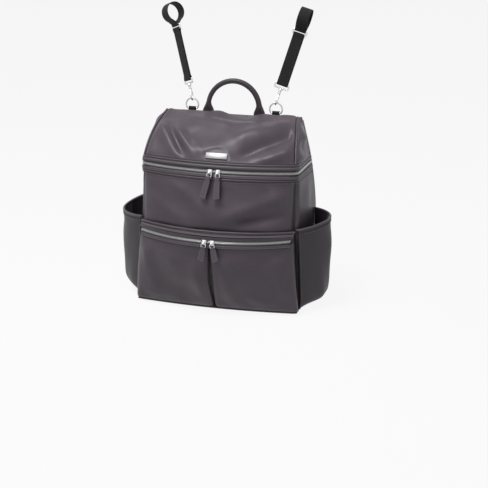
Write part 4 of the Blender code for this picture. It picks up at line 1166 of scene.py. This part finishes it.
chain = pocket_frames(POCKET_ZIP_Z)
for way, body, node in ((1, "bag", "pocket_zip_upper"), (-1, "pocket_front", "pocket_zip_lower")):
    add_zip_half("pocket_zip", POCKET_ZIP_Z, way, pocket_frames, body, node, chain, False)


# --- Zip sliders and leather pulls --------------------------------------------------------
# Each zip has two cast nickel sliders. A wire ring hangs from each slider's bail and holds a
# tab of doubled leather, stitched round its edge and cut square at its end.

SLIDER_X = 0.0075
SLIDER_SIZE = (0.008, 0.0042, 0.0105)
BAIL_SIZE = (0.0042, 0.0062)                    # how far a bail stands out, and its height
PULL_WIRE = 0.0008
PULL_RING = (0.0082, 0.0075)
TAB_WIDTH, TAB_CURL = 0.0128, 0.0012
TAB_TILTS = {("main", "left"): 14, ("main", "right"): 0,
             ("pocket", "left"): 9, ("pocket", "right"): 13}
TAB_LENGTHS = {"main": 0.040, "pocket": 0.026}


def cast(size, bevel, matrix, segments=2):
    """A block with rounded edges."""
    bm = bmesh.new()
    bmesh.ops.create_cube(bm, size=1)
    bmesh.ops.scale(bm, verts=bm.verts, vec=size)
    bmesh.ops.bevel(bm, geom=bm.edges[:], offset=bevel, segments=segments, profile=0.5,
                    affect="EDGES", material=-1)
    bm.transform(matrix)
    return bm


def wire(points, radius, matrix=Matrix(), closed=False, sides=12, out=None):
    bm = swept(frames_along([Vector(p) for p in points], out, closed),
               round_outline(radius, sides), closed)
    bm.transform(matrix)
    return bm


def rounded_loop(half_width, half_height, corner, centre_z=0.0, steps=6):
    """Points of a rounded rectangle in the XZ plane."""
    points = []
    for quarter, (sx, sz) in enumerate([(1, 1), (-1, 1), (-1, -1), (1, -1)]):
        for i in range(steps + 1):
            a = (quarter + i / steps) * math.pi / 2
            points.append(Vector((sx * (half_width - corner) + corner * math.cos(a), 0,
                                  centre_z + sz * (half_height - corner) + corner * math.sin(a))))
    return points


def strip(line, width, thick, matrix=Matrix(), closed=False, square=0.35, wear_and_highlight_paling=0.0):
    """A flat strip along a line of (y, z) points, `width` wide along X at each point."""
    points = [Vector((0, y, z)) for y, z in line]
    frames = []
    for i, at in enumerate(points):
        before = points[i - 1] if closed or i else at
        after = points[(i + 1) % len(points)] if closed or i + 1 < len(points) else at
        along = (after - before).normalized()
        frames.append((at, Vector((1, 0, 0)).cross(along), Vector((1, 0, 0))))
    wide = width if callable(width) else (lambda i: width)
    bm = swept(frames, lambda i: soft_outline(thick / 2, wide(i) / 2, sides=20, square=square),
               closed, wear_and_highlight_paling)
    bm.transform(matrix)
    return bm


def add_slider(prefix, word, sign, stations, z):
    x = sign * SLIDER_X
    width, thick, height = SLIDER_SIZE
    section = between(stations, z)
    face = wall_point(stations, x / section[0], z).y - 0.0016
    body = f"{prefix}_slider_{word}"
    middle = Vector((x, face - thick / 2, z))
    blocks = []
    for wide, deep, tall, bevel, back in ((1.0, 0.34, 1.0, 0.0007, -0.30),
                                          (0.62, 0.50, 0.70, 0.0008, -0.36),
                                          (0.96, 0.40, 0.94, 0.0005, 0.18)):
        blocks.append(cast((width * wide, thick * deep, height * tall), bevel,
                           Matrix.Translation(middle + Vector((0, thick * back, 0)))))
    out, tall = BAIL_SIZE
    arch = [Vector((x, face - thick + 0.001 - (out + 0.0006) * math.sin(a)**0.7,
                    z + (tall / 2 - 0.0003) * math.cos(a)))
            for a in (math.pi * i / 16 for i in range(17))]
    bail = swept(frames_along(arch, Vector((1, 0, 0))), soft_outline(0.0013, 0.0005, sides=12))
    finished(f"{body}_cast", joined(*blocks, bail), NICKEL, body, (body,), sharp=40)

    ring_z = z - tall / 2 + 0.0004 + PULL_WIRE + 0.0006
    length = TAB_LENGTHS[prefix]
    side = x / section[0]
    drop = wall_point(stations, side, z - length).y - wall_point(stations, side, z).y
    hang = (Matrix.Translation((x, face - thick - out / 2, ring_z))
            @ Matrix.Rotation(-math.atan2(max(0.0, -drop), length), 4, "X")
            @ Matrix.Rotation(-sign * math.radians(TAB_TILTS[prefix, word]), 4, "Y"))
    pull = f"{prefix}_pull_{word}"
    ring = rounded_loop(PULL_RING[0] / 2, PULL_RING[1] / 2, 0.0022, -PULL_RING[1] / 2)
    finished(f"{pull}_ring_wire", wire(ring, PULL_WIRE, hang, True), NICKEL, pull,
             (f"{prefix}_pull_ring_{word}",))

    hang = hang @ Matrix.Translation((0, 0, -PULL_RING[1]))
    ply = 0.0011
    run = PULL_WIRE + 0.0003 + ply / 2
    legs = [(-ply / 2 - 0.0001, -length * (0.18 + 0.82 * i / 16)) for i in range(17)]
    turn = [(-run * math.cos(a), run * math.sin(a)) for a in (math.pi * i / 12 for i in range(13))]
    line = list(reversed(legs)) + turn + [(-y, dz) for y, dz in legs]

    def width_at(i):
        down = max(0.0, -line[i][1] / length)
        neck = PULL_RING[0] - 2 * PULL_WIRE - 0.0012
        full = TAB_WIDTH * (0.80 + 0.20 * down)
        return neck + (full - neck) * ease((down - 0.08) / 0.10)

    # The tab is painted paler all over so that it looks more lit than the bag: painted light.
    tab = strip(line, width_at, ply, square=0.28, wear_and_highlight_paling=1.2)
    for v in tab.verts:
        down = max(0.0, -v.co.z / length)
        v.co.y -= TAB_CURL * down**2
        v.co.z += TAB_CURL * math.sin(v.co.x / TAB_WIDTH * math.pi) * sign * down**4
    tab.transform(hang)
    finished(f"{pull}_leather", tab, LEATHER, pull, (f"{prefix}_pull_tab_{word}",),
             sharp=60)
    forward, across, upward = (hang.to_3x3() @ Vector(way) for way in ((0, -1, 0), (1, 0, 0),
                                                                      (0, 0, 1)))
    rows = []
    for edge in (-1, 1):
        row = []
        for i in range(30):
            down = 0.24 + 0.70 * i / 29
            half_width = TAB_WIDTH * (0.80 + 0.20 * down) / 2 - 0.0016
            at = Vector((edge * half_width, -ply - 0.0003 - TAB_CURL * down**2, -length * down))
            row.append((hang @ at, forward, across))
        rows.append(row)
    foot = [(hang @ Vector((TAB_WIDTH * 0.34 * (i / 5 - 1), -ply - 0.0014, -length * 0.95)),
             forward, upward) for i in range(11)]
    stitched(f"{pull}_stitching", rows + [foot], pull, pitch=0.0026, size=(0.0018, 0.0007))


for word, sign in SIDES:
    add_slider("main", word, sign, BODY, ZIP_Z)
    add_slider("pocket", word, sign, POCKET, POCKET_ZIP_Z)


# --- Side pockets -------------------------------------------------------------------------
# An open bottle pocket is sewn to each gusset. Its leather stands well out, has a turned and
# stitched rim, and is lined with dark insulated fabric.

# Height and half width of the whole bag across the pockets.
POUCH = [(0.0055, 0.174), (0.020, 0.195), (0.045, 0.203), (0.115, 0.206), (0.178, 0.204)]
HEM_DOWN = 0.009                                # from the rim to its row of thread
POUCH_SEAM = 0.04                               # share of the gusset that a seam stands in by
# Height of each rim at its front, middle and back.
RIMS = {"left": (0.1665, 0.1665, 0.186), "right": (0.1640, 0.1780, 0.1815)}
FOIL = woven("insulated lining", (0.075, 0.075, 0.080, 1), (0.15, 0.15, 0.158, 1), 0.42, 0.0007)


def pouch_point(sign, u, z, off=0.0):
    t = POUCH_SEAM + (1 - 2 * POUCH_SEAM) * u
    at = gusset_point(sign, t, z)
    low = POUCH[0][0]
    swell = between(POUCH, z)[0] - abs(gusset_point(sign, 0.5, z).x)
    close = min(1.0, max(0.0, (z - low) / 0.016))
    swell *= math.sqrt(max(0.0, 1 - (1 - close)**2))
    arch = max(0.0, math.sin(math.pi * u))**0.72
    at.x += sign * (0.0006 + off * arch + swell * arch)
    return at


def rim_z(word, u):
    front, middle, rear = RIMS[word]
    return front * (1 - u)**2 + (4 * middle - front - rear) / 2 * 2 * u * (1 - u) + rear * u**2


def pouch_skin(word, sign, u, v, off=0.0, low=0.0, high=1.0):
    foot = POUCH[0][0]
    z = foot + (rim_z(word, u) - foot) * (low + (high - low) * v)
    at = pouch_point(sign, u, z, off)
    calm = (math.sin(math.pi * u) * ease((z - foot) / 0.03)
            * ease((rim_z(word, u) - 0.006 - z) / 0.025))
    fold = 0.0016 * math.sin(u * 19 + sign + z * 14) * ease((0.10 - z) / 0.08)
    lift = ripple(Vector((at.x, at.y, at.z * 0.45)), 0.034, 0.0050, 13 + sign) + fold
    at.x += sign * lift * calm
    return at


for word, sign in SIDES:
    # The pocket's leather is painted darker as shade on the bag's sides.
    outer = cut_piece(70, 74, lambda u, v: pouch_skin(word, sign, u, v))
    finished(f"side_pocket_leather_{word}", outer, SHADED_LEATHER_COPY, "bag",
             (f"side_pocket_{word}",), 0.0018, open_sheet=True)
    inner = cut_piece(60, 50, lambda u, v: pouch_skin(word, sign, u, v, -0.0028, 0.02, 0.985))
    bmesh.ops.reverse_faces(inner, faces=inner.faces)
    finished(f"side_pocket_lining_{word}", inner, FOIL, "bag")
    rim = []
    stitch_row = []
    for u in (i / 70 for i in range(71)):
        rim.append(pouch_skin(word, sign, u, 1) + Vector((-sign * 0.0008, 0, 0.0004)))
        behind, below, ahead = (pouch_point(sign, near, rim_z(word, u) - HEM_DOWN)
                                for near in (max(u - 0.01, 0), u, min(u + 0.01, 1)))
        along = (ahead - behind).normalized()
        out = along.cross(Vector((0, 0, 1))).normalized()
        out *= 1 if out.x * sign > 0 else -1
        stitch_row.append((below + out * 0.0006, out, Vector((0, 0, 1))))
    # The rim is painted paler as a highlight along its turned edge.
    hem = swept(frames_along(rim, Vector((0, 0, 1))), round_outline(0.0022, 12), wear_and_highlight_paling=0.6)
    finished(f"side_pocket_rim_{word}", hem, LEATHER, "bag")
    # A dark line above the stitching is painted shade in the hem's crease.
    dip = swept(offset(stitch_row, -0.0002, 0.0035), soft_outline(0.0006, 0.0005))
    finished(f"side_pocket_groove_shade_{word}", dip, PAINTED_SHADE_LEATHER, "bag")
    stitched(f"side_pocket_stitching_{word}", [stitch_row[3:-3]], "bag")
    for label, end, u in (("front", 0, 0.01), ("rear", 1, 0.99)):
        foot, top = POUCH[0][0], rim_z(word, end)
        seam = [pouch_point(sign, u, foot + (top - foot) * i / 40) for i in range(41)]
        finished(f"side_pocket_binding_{label}_{word}",
                 wire(seam, 0.0015, out=Vector((sign, 0, 0))), LEATHER, "bag")


# --- Carry handle -------------------------------------------------------------------------
# A rolled leather grip over a soft core, closed by a seam along its inner side. Its ends open
# out into flat tabs that are folded, stitched and sewn behind the ridge.

HANDLE_Y = BAG_BACK - 0.005
HANDLE_SPAN = 0.0505
HANDLE_TOP = 0.4225
HANDLE_RADIUS = 0.0047
END_HALF, END_THICK = 0.0112, 0.0025


def handle_sections(steps=72):
    """Sections up one side, over the arch and down: point, half width, half depth."""
    foot = BACK_TOP + 0.0003
    spring = foot + 0.014
    rise = HANDLE_TOP - HANDLE_RADIUS - spring
    line = [Vector((-HANDLE_SPAN, HANDLE_Y, foot + 0.014 * i / 12)) for i in range(12)]
    line += [Vector((-HANDLE_SPAN * math.cos(math.pi * i / steps), HANDLE_Y,
                     spring + rise * math.sin(math.pi * i / steps))) for i in range(steps + 1)]
    line += [Vector((-at.x, at.y, at.z)) for at in reversed(line[:12])]
    sections = []
    for at in line:
        roll = ease((at.z - foot - 0.003) / 0.021)
        wide = END_HALF * (1 - 0.06 * ease(1 - (at.z - foot) / 0.002))
        sections.append((at, wide + (HANDLE_RADIUS - wide) * roll,
                         END_THICK + (HANDLE_RADIUS - END_THICK) * roll))
    return sections


sections = handle_sections()
frames = frames_along([at for at, _, _ in sections], Vector((0, -1, 0)))


def handle_outline(i):
    """Round over the arch, a flat tab at the ends, with a groove along the inner seam."""
    _, wide, deep = sections[i]
    flat = ease((wide - HANDLE_RADIUS) / (END_HALF - HANDLE_RADIUS))
    square = 1 - 0.62 * flat
    points = []
    for k in range(28):
        a = math.tau * k / 28
        c, s = math.cos(a), math.sin(a)
        groove = 1 - 0.16 * (1 - flat) * math.exp(-((s + 1) / 0.02)**2)
        points.append((deep * math.copysign(abs(c)**square, c) * groove,
                       wide * math.copysign(abs(s)**square, s) * groove))
    return points


# The grip is painted darker as shade on its upright roll.
finished("handle_leather", swept(frames, handle_outline), SHADED_LEATHER_COPY, "handle",
         ("handle",), sharp=50)
# A dark strip along the inner side is painted shade in the seam's groove.
seam = [(at - up * wide * 0.80 + out * deep * 0.58, out, up)
        for (at, out, up), (_, wide, deep) in list(zip(frames, sections))[10:-10]]
finished("handle_seam_shade", swept(seam, soft_outline(0.0016, 0.0013, sides=12)), PAINTED_SHADE_LEATHER, "handle")
rows = []
for mirror in (1, -1):
    for edge in (-1, 1):
        row = []
        for i in range(24):
            up = 0.0045 + 0.016 * i / 23
            spread = END_HALF - 0.0020 - 0.0060 * ease((up - 0.003) / 0.018)
            x = mirror * HANDLE_SPAN * (1 - 0.02 * ease((up - 0.014) / 0.01)) + edge * spread
            y = HANDLE_Y - END_THICK - 0.0002 - 0.0018 * ease((up - 0.004) / 0.020)
            row.append((Vector((x, y, BACK_TOP + up)), Vector((0, -1, 0)), Vector((1, 0, 0))))
        rows.append(row)
stitched("handle_stitching", rows, "handle", pitch=0.0034, size=(0.0024, 0.0009))


# --- D-rings and their tabs ---------------------------------------------------------------
# A round-topped ring of nickel wire stands on each side of the handle in a doubled tab of
# ribbed black webbing that is sewn into the top seam of the back.

def ribbed(name, low, high, roughness):
    """Ribbed nylon webbing: crosswise ribs, a finer twill, and paler fluff and dust."""
    material, nodes, at = new_material(name)
    flat = nodes.add("ShaderNodeUVMap", {"uv_map": "weave"})
    ribs = banded(nodes, flat, "X", 270.0, 0.4)
    twill = banded(nodes, flat, "DIAGONAL", 420.0)
    fluff = noisy(nodes, at, 900.0, 3.0)
    dust = noisy(nodes, at, 40.0, 3.0)
    weave = ribs * 0.7 + twill * 0.3
    colour = blended(nodes, weave * 0.5 + fluff * 0.25 + dust * 0.25, low, high)
    shaded(nodes, {
        "Base Color": colour, "Roughness": fluff * 0.12 + roughness,
        "Normal": raised(nodes, weave + fluff * 0.3, 0.0003), "Specular IOR Level": 0.22,
        "Sheen Weight": 0.03})
    return material


WEBBING = ribbed("black webbing", (0.003, 0.003, 0.0035, 1), (0.014, 0.014, 0.015, 1), 0.62)
WEB_THICK = 0.0015
RING_X, RING_RADIUS, RING_FLAT, RING_WIRE = 0.083, 0.0122, 0.0075, 0.0016
RING_BAR_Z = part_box("d_ring_left")[0].z + 0.0014


def half_turn(radius, centre, start, steps=14):
    """Points (y, z) of half a turn round a bar at height centre."""
    return [(radius * math.cos(start + math.pi * i / steps),
             centre + radius * math.sin(start + math.pi * i / steps)) for i in range(steps + 1)]


def folded_line(radius, length, half_gap):
    """The middle line (y, z) of a strip folded over a bar at the origin, hanging down."""
    run = radius + 0.0005 + WEB_THICK / 2
    leg = half_gap + WEB_THICK / 2
    down = [(leg, -2.2 * run - (length - 2.2 * run) * i / 8) for i in range(9)]
    return list(reversed(down)) + half_turn(run, 0, 0) + [(-y, z) for y, z in down]


for word, sign in SIDES:
    bar = Matrix.Translation((sign * RING_X, HANDLE_Y, RING_BAR_Z))
    low = math.asin(-RING_FLAT / RING_RADIUS)
    ring = []
    for i in range(41):
        a = low + (math.pi - 2 * low) * i / 40
        ring.append((RING_RADIUS * math.cos(a), 0, RING_FLAT + RING_RADIUS * math.sin(a)))
    ring += [(ring[-1][0] * (1 - i / 5), 0, 0) for i in range(1, 10)]
    finished(f"d_ring_wire_{word}", wire(ring, RING_WIRE, bar, True, 14), NICKEL,
             f"d_ring_{word}", (f"d_ring_{word}",))
    tab = strip(folded_line(RING_WIRE, RING_BAR_Z - BACK_TOP - 0.0003, 0.0002), 0.0146, WEB_THICK,
                bar)
    finished(f"d_ring_webbing_{word}", tab, WEBBING, "bag", (f"d_ring_tab_{word}",),
             sharp=60)


# --- Snap hooks and stroller straps -------------------------------------------------------
# A bent nickel snap hook with a sprung gate hangs in each D-ring. Its swivel carries a loop for
# the doubled webbing strap, and the strap's ring carries a wide loop for the handlebar.

STRAP_OUT, STRAP_BACK = math.radians(16), math.radians(8)
SWIVEL_TURN = {"left": math.radians(-40), "right": 0.0}
HOOK_WIRE, HOOK_EYE = 0.0018, 0.0058
HOOK_EYE_Z = HOOK_EYE - (RING_WIRE + HOOK_WIRE + 0.0003)
SHANK_FOOT, SHANK_TOP = 0.0185, 0.0240
BARREL_RADIUS, BARREL_LENGTH = 0.0042, 0.0040
LOOP_WIRE, LOOP_HALF = 0.0015, (0.0135, 0.0040)
STRAP_WIDTH, STRAP_LENGTH = 0.022, 0.098
BAR_RADIUS, BAR_MOUTH = 0.0175, math.radians(28)


def turned(profile, matrix, sides=24):
    """A round part: profile is (radius, height) points along Z."""
    frames = [(Vector((0, 0, z)), Vector((1, 0, 0)), Vector((0, 1, 0))) for _, z in profile]
    bm = swept(frames, lambda i: round_outline(profile[i][0], sides))
    bm.transform(matrix)
    return bm


def hook_mesh(matrix):
    low = [(0, SHANK_FOOT + 0.001), (0, SHANK_FOOT - 0.0015), (-0.0009, SHANK_FOOT - 0.0032),
           (-0.0030, HOOK_EYE_Z + 0.0078), (-0.0048, HOOK_EYE_Z + 0.0042)]
    turn = [math.pi + math.radians(189) * i / 28 for i in range(29)]
    eye = [(HOOK_EYE * math.cos(a), HOOK_EYE_Z + HOOK_EYE * math.sin(a)) for a in turn]
    points = [Vector((0, y, z)) for y, z in low + eye]
    frames = frames_along(points, Vector((1, 0, 0)))
    last = len(points) - 1
    body = swept(frames, lambda i: round_outline(HOOK_WIRE * (1 - 0.25 * ease((i - last + 4) / 4)),
                                                 14))
    body.transform(matrix)
    shank = turned([(0.0022, SHANK_FOOT - 0.0020), (0.0029, SHANK_FOOT - 0.0012),
                    (0.0030, SHANK_FOOT + 0.001), (0.0024, SHANK_FOOT + 0.0018),
                    (0.0024, SHANK_FOOT + 0.0026), (0.0030, SHANK_FOOT + 0.0034),
                    (0.0030, SHANK_TOP - 0.0006), (0.0024, SHANK_TOP)], matrix)
    return joined(body, shank)


def strap_line():
    """The middle line (y, z) of the doubled strap, once round, from the swivel's bar."""
    run = LOOP_WIRE + 0.0003 + WEB_THICK / 2
    slim = WEB_THICK / 2 + 0.0002
    ply = [0.008 + (STRAP_LENGTH - 0.016) * i / 40 for i in range(41)]
    line = half_turn(run, 0, math.pi) + [(slim, z) for z in ply]
    return line + half_turn(run, STRAP_LENGTH, 0) + [(-slim, z) for z in reversed(ply)]


def bar_loop_line():
    """The middle line (y, z) of the handlebar's loop, from the strap ring's bar."""
    run = LOOP_WIRE + 0.0003 + WEB_THICK / 2
    grip = BAR_RADIUS + WEB_THICK / 2
    bottom = 2 * LOOP_HALF[1]
    centre = bottom + 0.006 + grip
    first, sweep = BAR_MOUTH - math.pi / 2, math.tau - 2 * BAR_MOUTH
    line = [(grip * math.cos(a), centre + grip * math.sin(a))
            for a in (first + sweep * i / 64 for i in range(65))]
    return line + [(-run, bottom + 0.002)] + half_turn(run, bottom, math.pi) + [(run, bottom + 0.002)]


THREAD_BLACK = threads("black thread", ((0.010, 0.010, 0.011, 1), (0.035, 0.035, 0.037, 1)))


def box_stitch(matrix, low, high, half, face):
    """Rows of a stitched box with a cross, on one face of a strap."""
    corners = [(-half, low), (half, low), (half, high), (-half, high)]
    lines = [(corners[k], corners[(k + 1) % 4]) for k in range(4)]
    lines += [(corners[0], corners[2]), (corners[1], corners[3])]
    turn = matrix.to_3x3()
    rows = []
    for (x0, z0), (x1, z1) in lines:
        start, end = Vector((x0, face, z0)), Vector((x1, face, z1))
        out = Vector((0, math.copysign(1, face), 0))
        up = out.cross((end - start).normalized())
        rows.append([(matrix @ start.lerp(end, i / 10), turn @ out, turn @ up)
                     for i in range(11)])
    return rows


for word, sign in SIDES:
    bar = Matrix.Translation((sign * RING_X, HANDLE_Y, RING_BAR_Z))
    lean = Matrix.Rotation(sign * STRAP_OUT, 4, "Y") @ Matrix.Rotation(-STRAP_BACK, 4, "X")
    hook = bar @ Matrix.Translation((0, 0, RING_FLAT + RING_RADIUS)) @ lean
    finished(f"snap_hook_{word}", hook_mesh(hook), NICKEL, f"hook_{word}",
             (f"hook_body_{word}",), sharp=45)
    root = Vector((0, 0.0046, SHANK_FOOT - 0.0022))
    tip = Vector((0, HOOK_EYE, HOOK_EYE_Z + 0.0018))
    line = [root.lerp(tip, i / 10) for i in range(11)]
    gate = swept(frames_along(line, Vector((0, 1, 0))),
                 lambda i: soft_outline(0.0009, 0.0012 + 0.0003 * math.sin(math.pi * i / 10),
                                        sides=14))
    gate.transform(hook)
    finished(f"snap_gate_{word}", gate, NICKEL, f"hook_gate_{word}",
             (f"hook_gate_{word}",), sharp=45)

    turn = hook @ Matrix.Rotation(SWIVEL_TURN[word], 4, "Z")
    base = SHANK_TOP + 0.0003
    barrel = turned([(BARREL_RADIUS * 0.8, base), (BARREL_RADIUS, base + 0.0006),
                     (BARREL_RADIUS, base + 0.0022), (BARREL_RADIUS * 0.86, base + 0.0034),
                     (BARREL_RADIUS * 0.7, base + BARREL_LENGTH)], turn)
    low_bar = base + BARREL_LENGTH + LOOP_WIRE * 0.4
    eye = wire(rounded_loop(*LOOP_HALF, 0.002, low_bar + LOOP_HALF[1]), LOOP_WIRE, turn, True)
    finished(f"swivel_{word}", joined(barrel, eye), NICKEL, f"stroller_strap_{word}",
             (f"hook_swivel_{word}",), sharp=45)

    web = turn @ Matrix.Translation((0, 0, low_bar + 2 * LOOP_HALF[1]))
    strap = strip(strap_line(), STRAP_WIDTH, WEB_THICK, web, True)
    finished(f"strap_{word}", strap, WEBBING, f"stroller_strap_{word}",
             (f"strap_webbing_{word}",), sharp=60)
    rows = []
    for face in (-1, 1):
        for low in (0.010, 0.072):
            rows += box_stitch(web, low, low + 0.016, 0.008, face * (WEB_THICK + 0.0003))
    sewn = stitched(f"strap_stitching_{word}", rows, f"stroller_strap_{word}", 0.0028,
                    (0.0019, 0.0008))
    sewn.data.materials[0] = THREAD_BLACK

    ring = web @ Matrix.Translation((0, 0, STRAP_LENGTH))
    frame_wire = wire(rounded_loop(*LOOP_HALF, 0.002, LOOP_HALF[1]), LOOP_WIRE, ring, True)
    finished(f"strap_ring_wire_{word}", frame_wire, NICKEL, f"bar_loop_{word}",
             (f"strap_ring_{word}",))
    loop = strip(bar_loop_line(), STRAP_WIDTH, WEB_THICK, ring, True)
    finished(f"handlebar_loop_{word}", loop, WEBBING, f"bar_loop_{word}",
             (f"bar_loop_{word}",), sharp=60)


# --- Shoulder straps ----------------------------------------------------------------------
# Two curved pads of foam under leather lie against the back for carrying on the shoulders. A
# moulded ladder buckle at the foot of each takes the webbing that is sewn into the base.

PAD_TOP = BACK_TOP - 0.007
PAD_THICK = 0.010
PAD_ROUTE = [(0.046, PAD_TOP), (0.052, PAD_TOP - 0.060), (0.070, PAD_TOP - 0.140),
             (0.093, PAD_TOP - 0.217)]
ANCHOR = Vector((0.128, 0.016))                 # where the webbing is sewn in
BUCKLE_DROP = 0.012                             # from the buckle's upper bar to its lower
SHOULDER_WIRE, SHOULDER_WEB = 0.0020, 0.025


def route_point(t):
    """A point (x, z) of the pad's middle line, on a smooth curve through its route."""
    span = t * (len(PAD_ROUTE) - 1)
    i = min(int(span), len(PAD_ROUTE) - 2)
    f = span - i
    a, b, c, d = (Vector(PAD_ROUTE[min(max(k, 0), 3)]) for k in range(i - 1, i + 3))
    return 0.5 * (2 * b + (c - a) * f + (2 * a - 5 * b + 4 * c - d) * f**2
                  + (3 * b - a - 3 * c + d) * f**3)


def moulded(name, tones, roughness):
    """Moulded plastic with a fine spark-eroded grain."""
    material, nodes, at = new_material(name)
    grain = noisy(nodes, at, 3000.0, 2.0)
    cloud = noisy(nodes, at, 90.0, 3.0)
    shaded(nodes, {
        "Base Color": blended(nodes, cloud, *tones), "Roughness": cloud * 0.12 + roughness,
        "Normal": raised(nodes, grain, 0.00005)})
    return material


BUCKLE_PLASTIC = moulded("black plastic", ((0.008, 0.008, 0.009, 1), (0.022, 0.022, 0.024, 1)),
                         0.40)


def pad_point(sign, u, t, y, inset=0.0):
    """A point of a pad: u runs across it and t down it."""
    at = route_point(t)
    along = (route_point(min(t + 0.02, 1)) - route_point(max(t - 0.02, 0))).normalized()
    half = 0.032 - 0.010 * t - inset
    half -= rolled(min(t * 0.22, (1 - t) * 0.22), 0.012, 0.007 if t > 0.5 else 0.003)
    x = at.x - along.y * (2 * u - 1) * half
    z = min(at.y + along.x * (2 * u - 1) * half, PAD_TOP - inset)
    return Vector((sign * x, y, max(z, PAD_ROUTE[-1][1] + inset * (t > 0.9))))


PAD_FACE = BAG_BACK + 0.0006                    # where the pads rest on the back
PAD_SEAM = PAD_FACE + 0.0044                    # and the depth of the piping's middle
PAD_EDGE = ([(0, i / 60) for i in range(61)] + [(i / 12, 1) for i in range(1, 12)]
            + [(1, 1 - i / 60) for i in range(61)])

for word, sign in SIDES:
    rim = [pad_point(sign, u, t, PAD_SEAM, 0.0024) for u, t in PAD_EDGE]
    rim_frames = frames_along(rim, Vector((0, 1, 0)))
    near = KDTree(len(rim))
    for i, at in enumerate(rim):
        near.insert(at, i)
    near.balance()
    pad = slab(18, 68, 2, lambda u, t, w: pad_point(sign, u, t, PAD_FACE + 0.0015 + 0.006 * w,
                                                    -0.0012))
    pad = puffed(pad, 0.0045, 4, 0.005)
    for v in pad.verts:
        _, i, _ = near.find(Vector((v.co.x, PAD_SEAM, v.co.z)))
        at, _, up = rim_frames[i]
        inside = (at - v.co).dot(up) * sign
        if inside < 0:
            v.co += up * (sign * inside)
        top = PAD_FACE + PAD_THICK - rolled(max(inside, 0), 0.0075, 0.0042)
        v.co = (v.co.x, min(max(v.co.y, PAD_FACE), top), min(v.co.z, PAD_TOP - 0.0006))
    pad = finished(f"shoulder_pad_leather_{word}", pad, LEATHER, f"shoulder_strap_{word}",
                   (f"shoulder_pad_{word}",))
    # The piping is painted paler as a highlight along its edge.
    edge = swept(rim_frames, soft_outline(0.0032, 0.0024), wear_and_highlight_paling=0.5)
    finished(f"shoulder_pad_piping_{word}", edge, LEATHER, f"shoulder_strap_{word}")

    end = Vector(PAD_ROUTE[-1])
    way = (ANCHOR - end).normalized()
    first = end + way * (SHOULDER_WIRE + 0.0006)
    frame = (Matrix.Translation((sign * first.x, BAG_BACK + 0.0046, first.y))
             @ Matrix.Rotation(-sign * math.atan2(way.x, -way.y), 4, "Y"))
    buckle = wire(rounded_loop(0.0150, BUCKLE_DROP / 2, 0.003, -BUCKLE_DROP / 2), SHOULDER_WIRE,
                  frame, True)
    rung = cast((0.030, 0.0026, 0.0016), 0.0004,
                frame @ Matrix.Translation((0, 0, -BUCKLE_DROP / 2)))
    finished(f"ladder_buckle_{word}", joined(buckle, rung), BUCKLE_PLASTIC,
             f"shoulder_strap_{word}", (f"adjuster_{word}",))
    lower = frame @ Matrix.Translation((0, 0, -BUCKLE_DROP))
    reach = (ANCHOR - first).length - BUCKLE_DROP
    web = strip(folded_line(SHOULDER_WIRE, reach, 0.0001), SHOULDER_WEB, WEB_THICK, lower)
    finished(f"shoulder_strap_webbing_{word}", web, WEBBING, f"shoulder_web_{word}",
             (f"shoulder_webbing_{word}",), sharp=60)
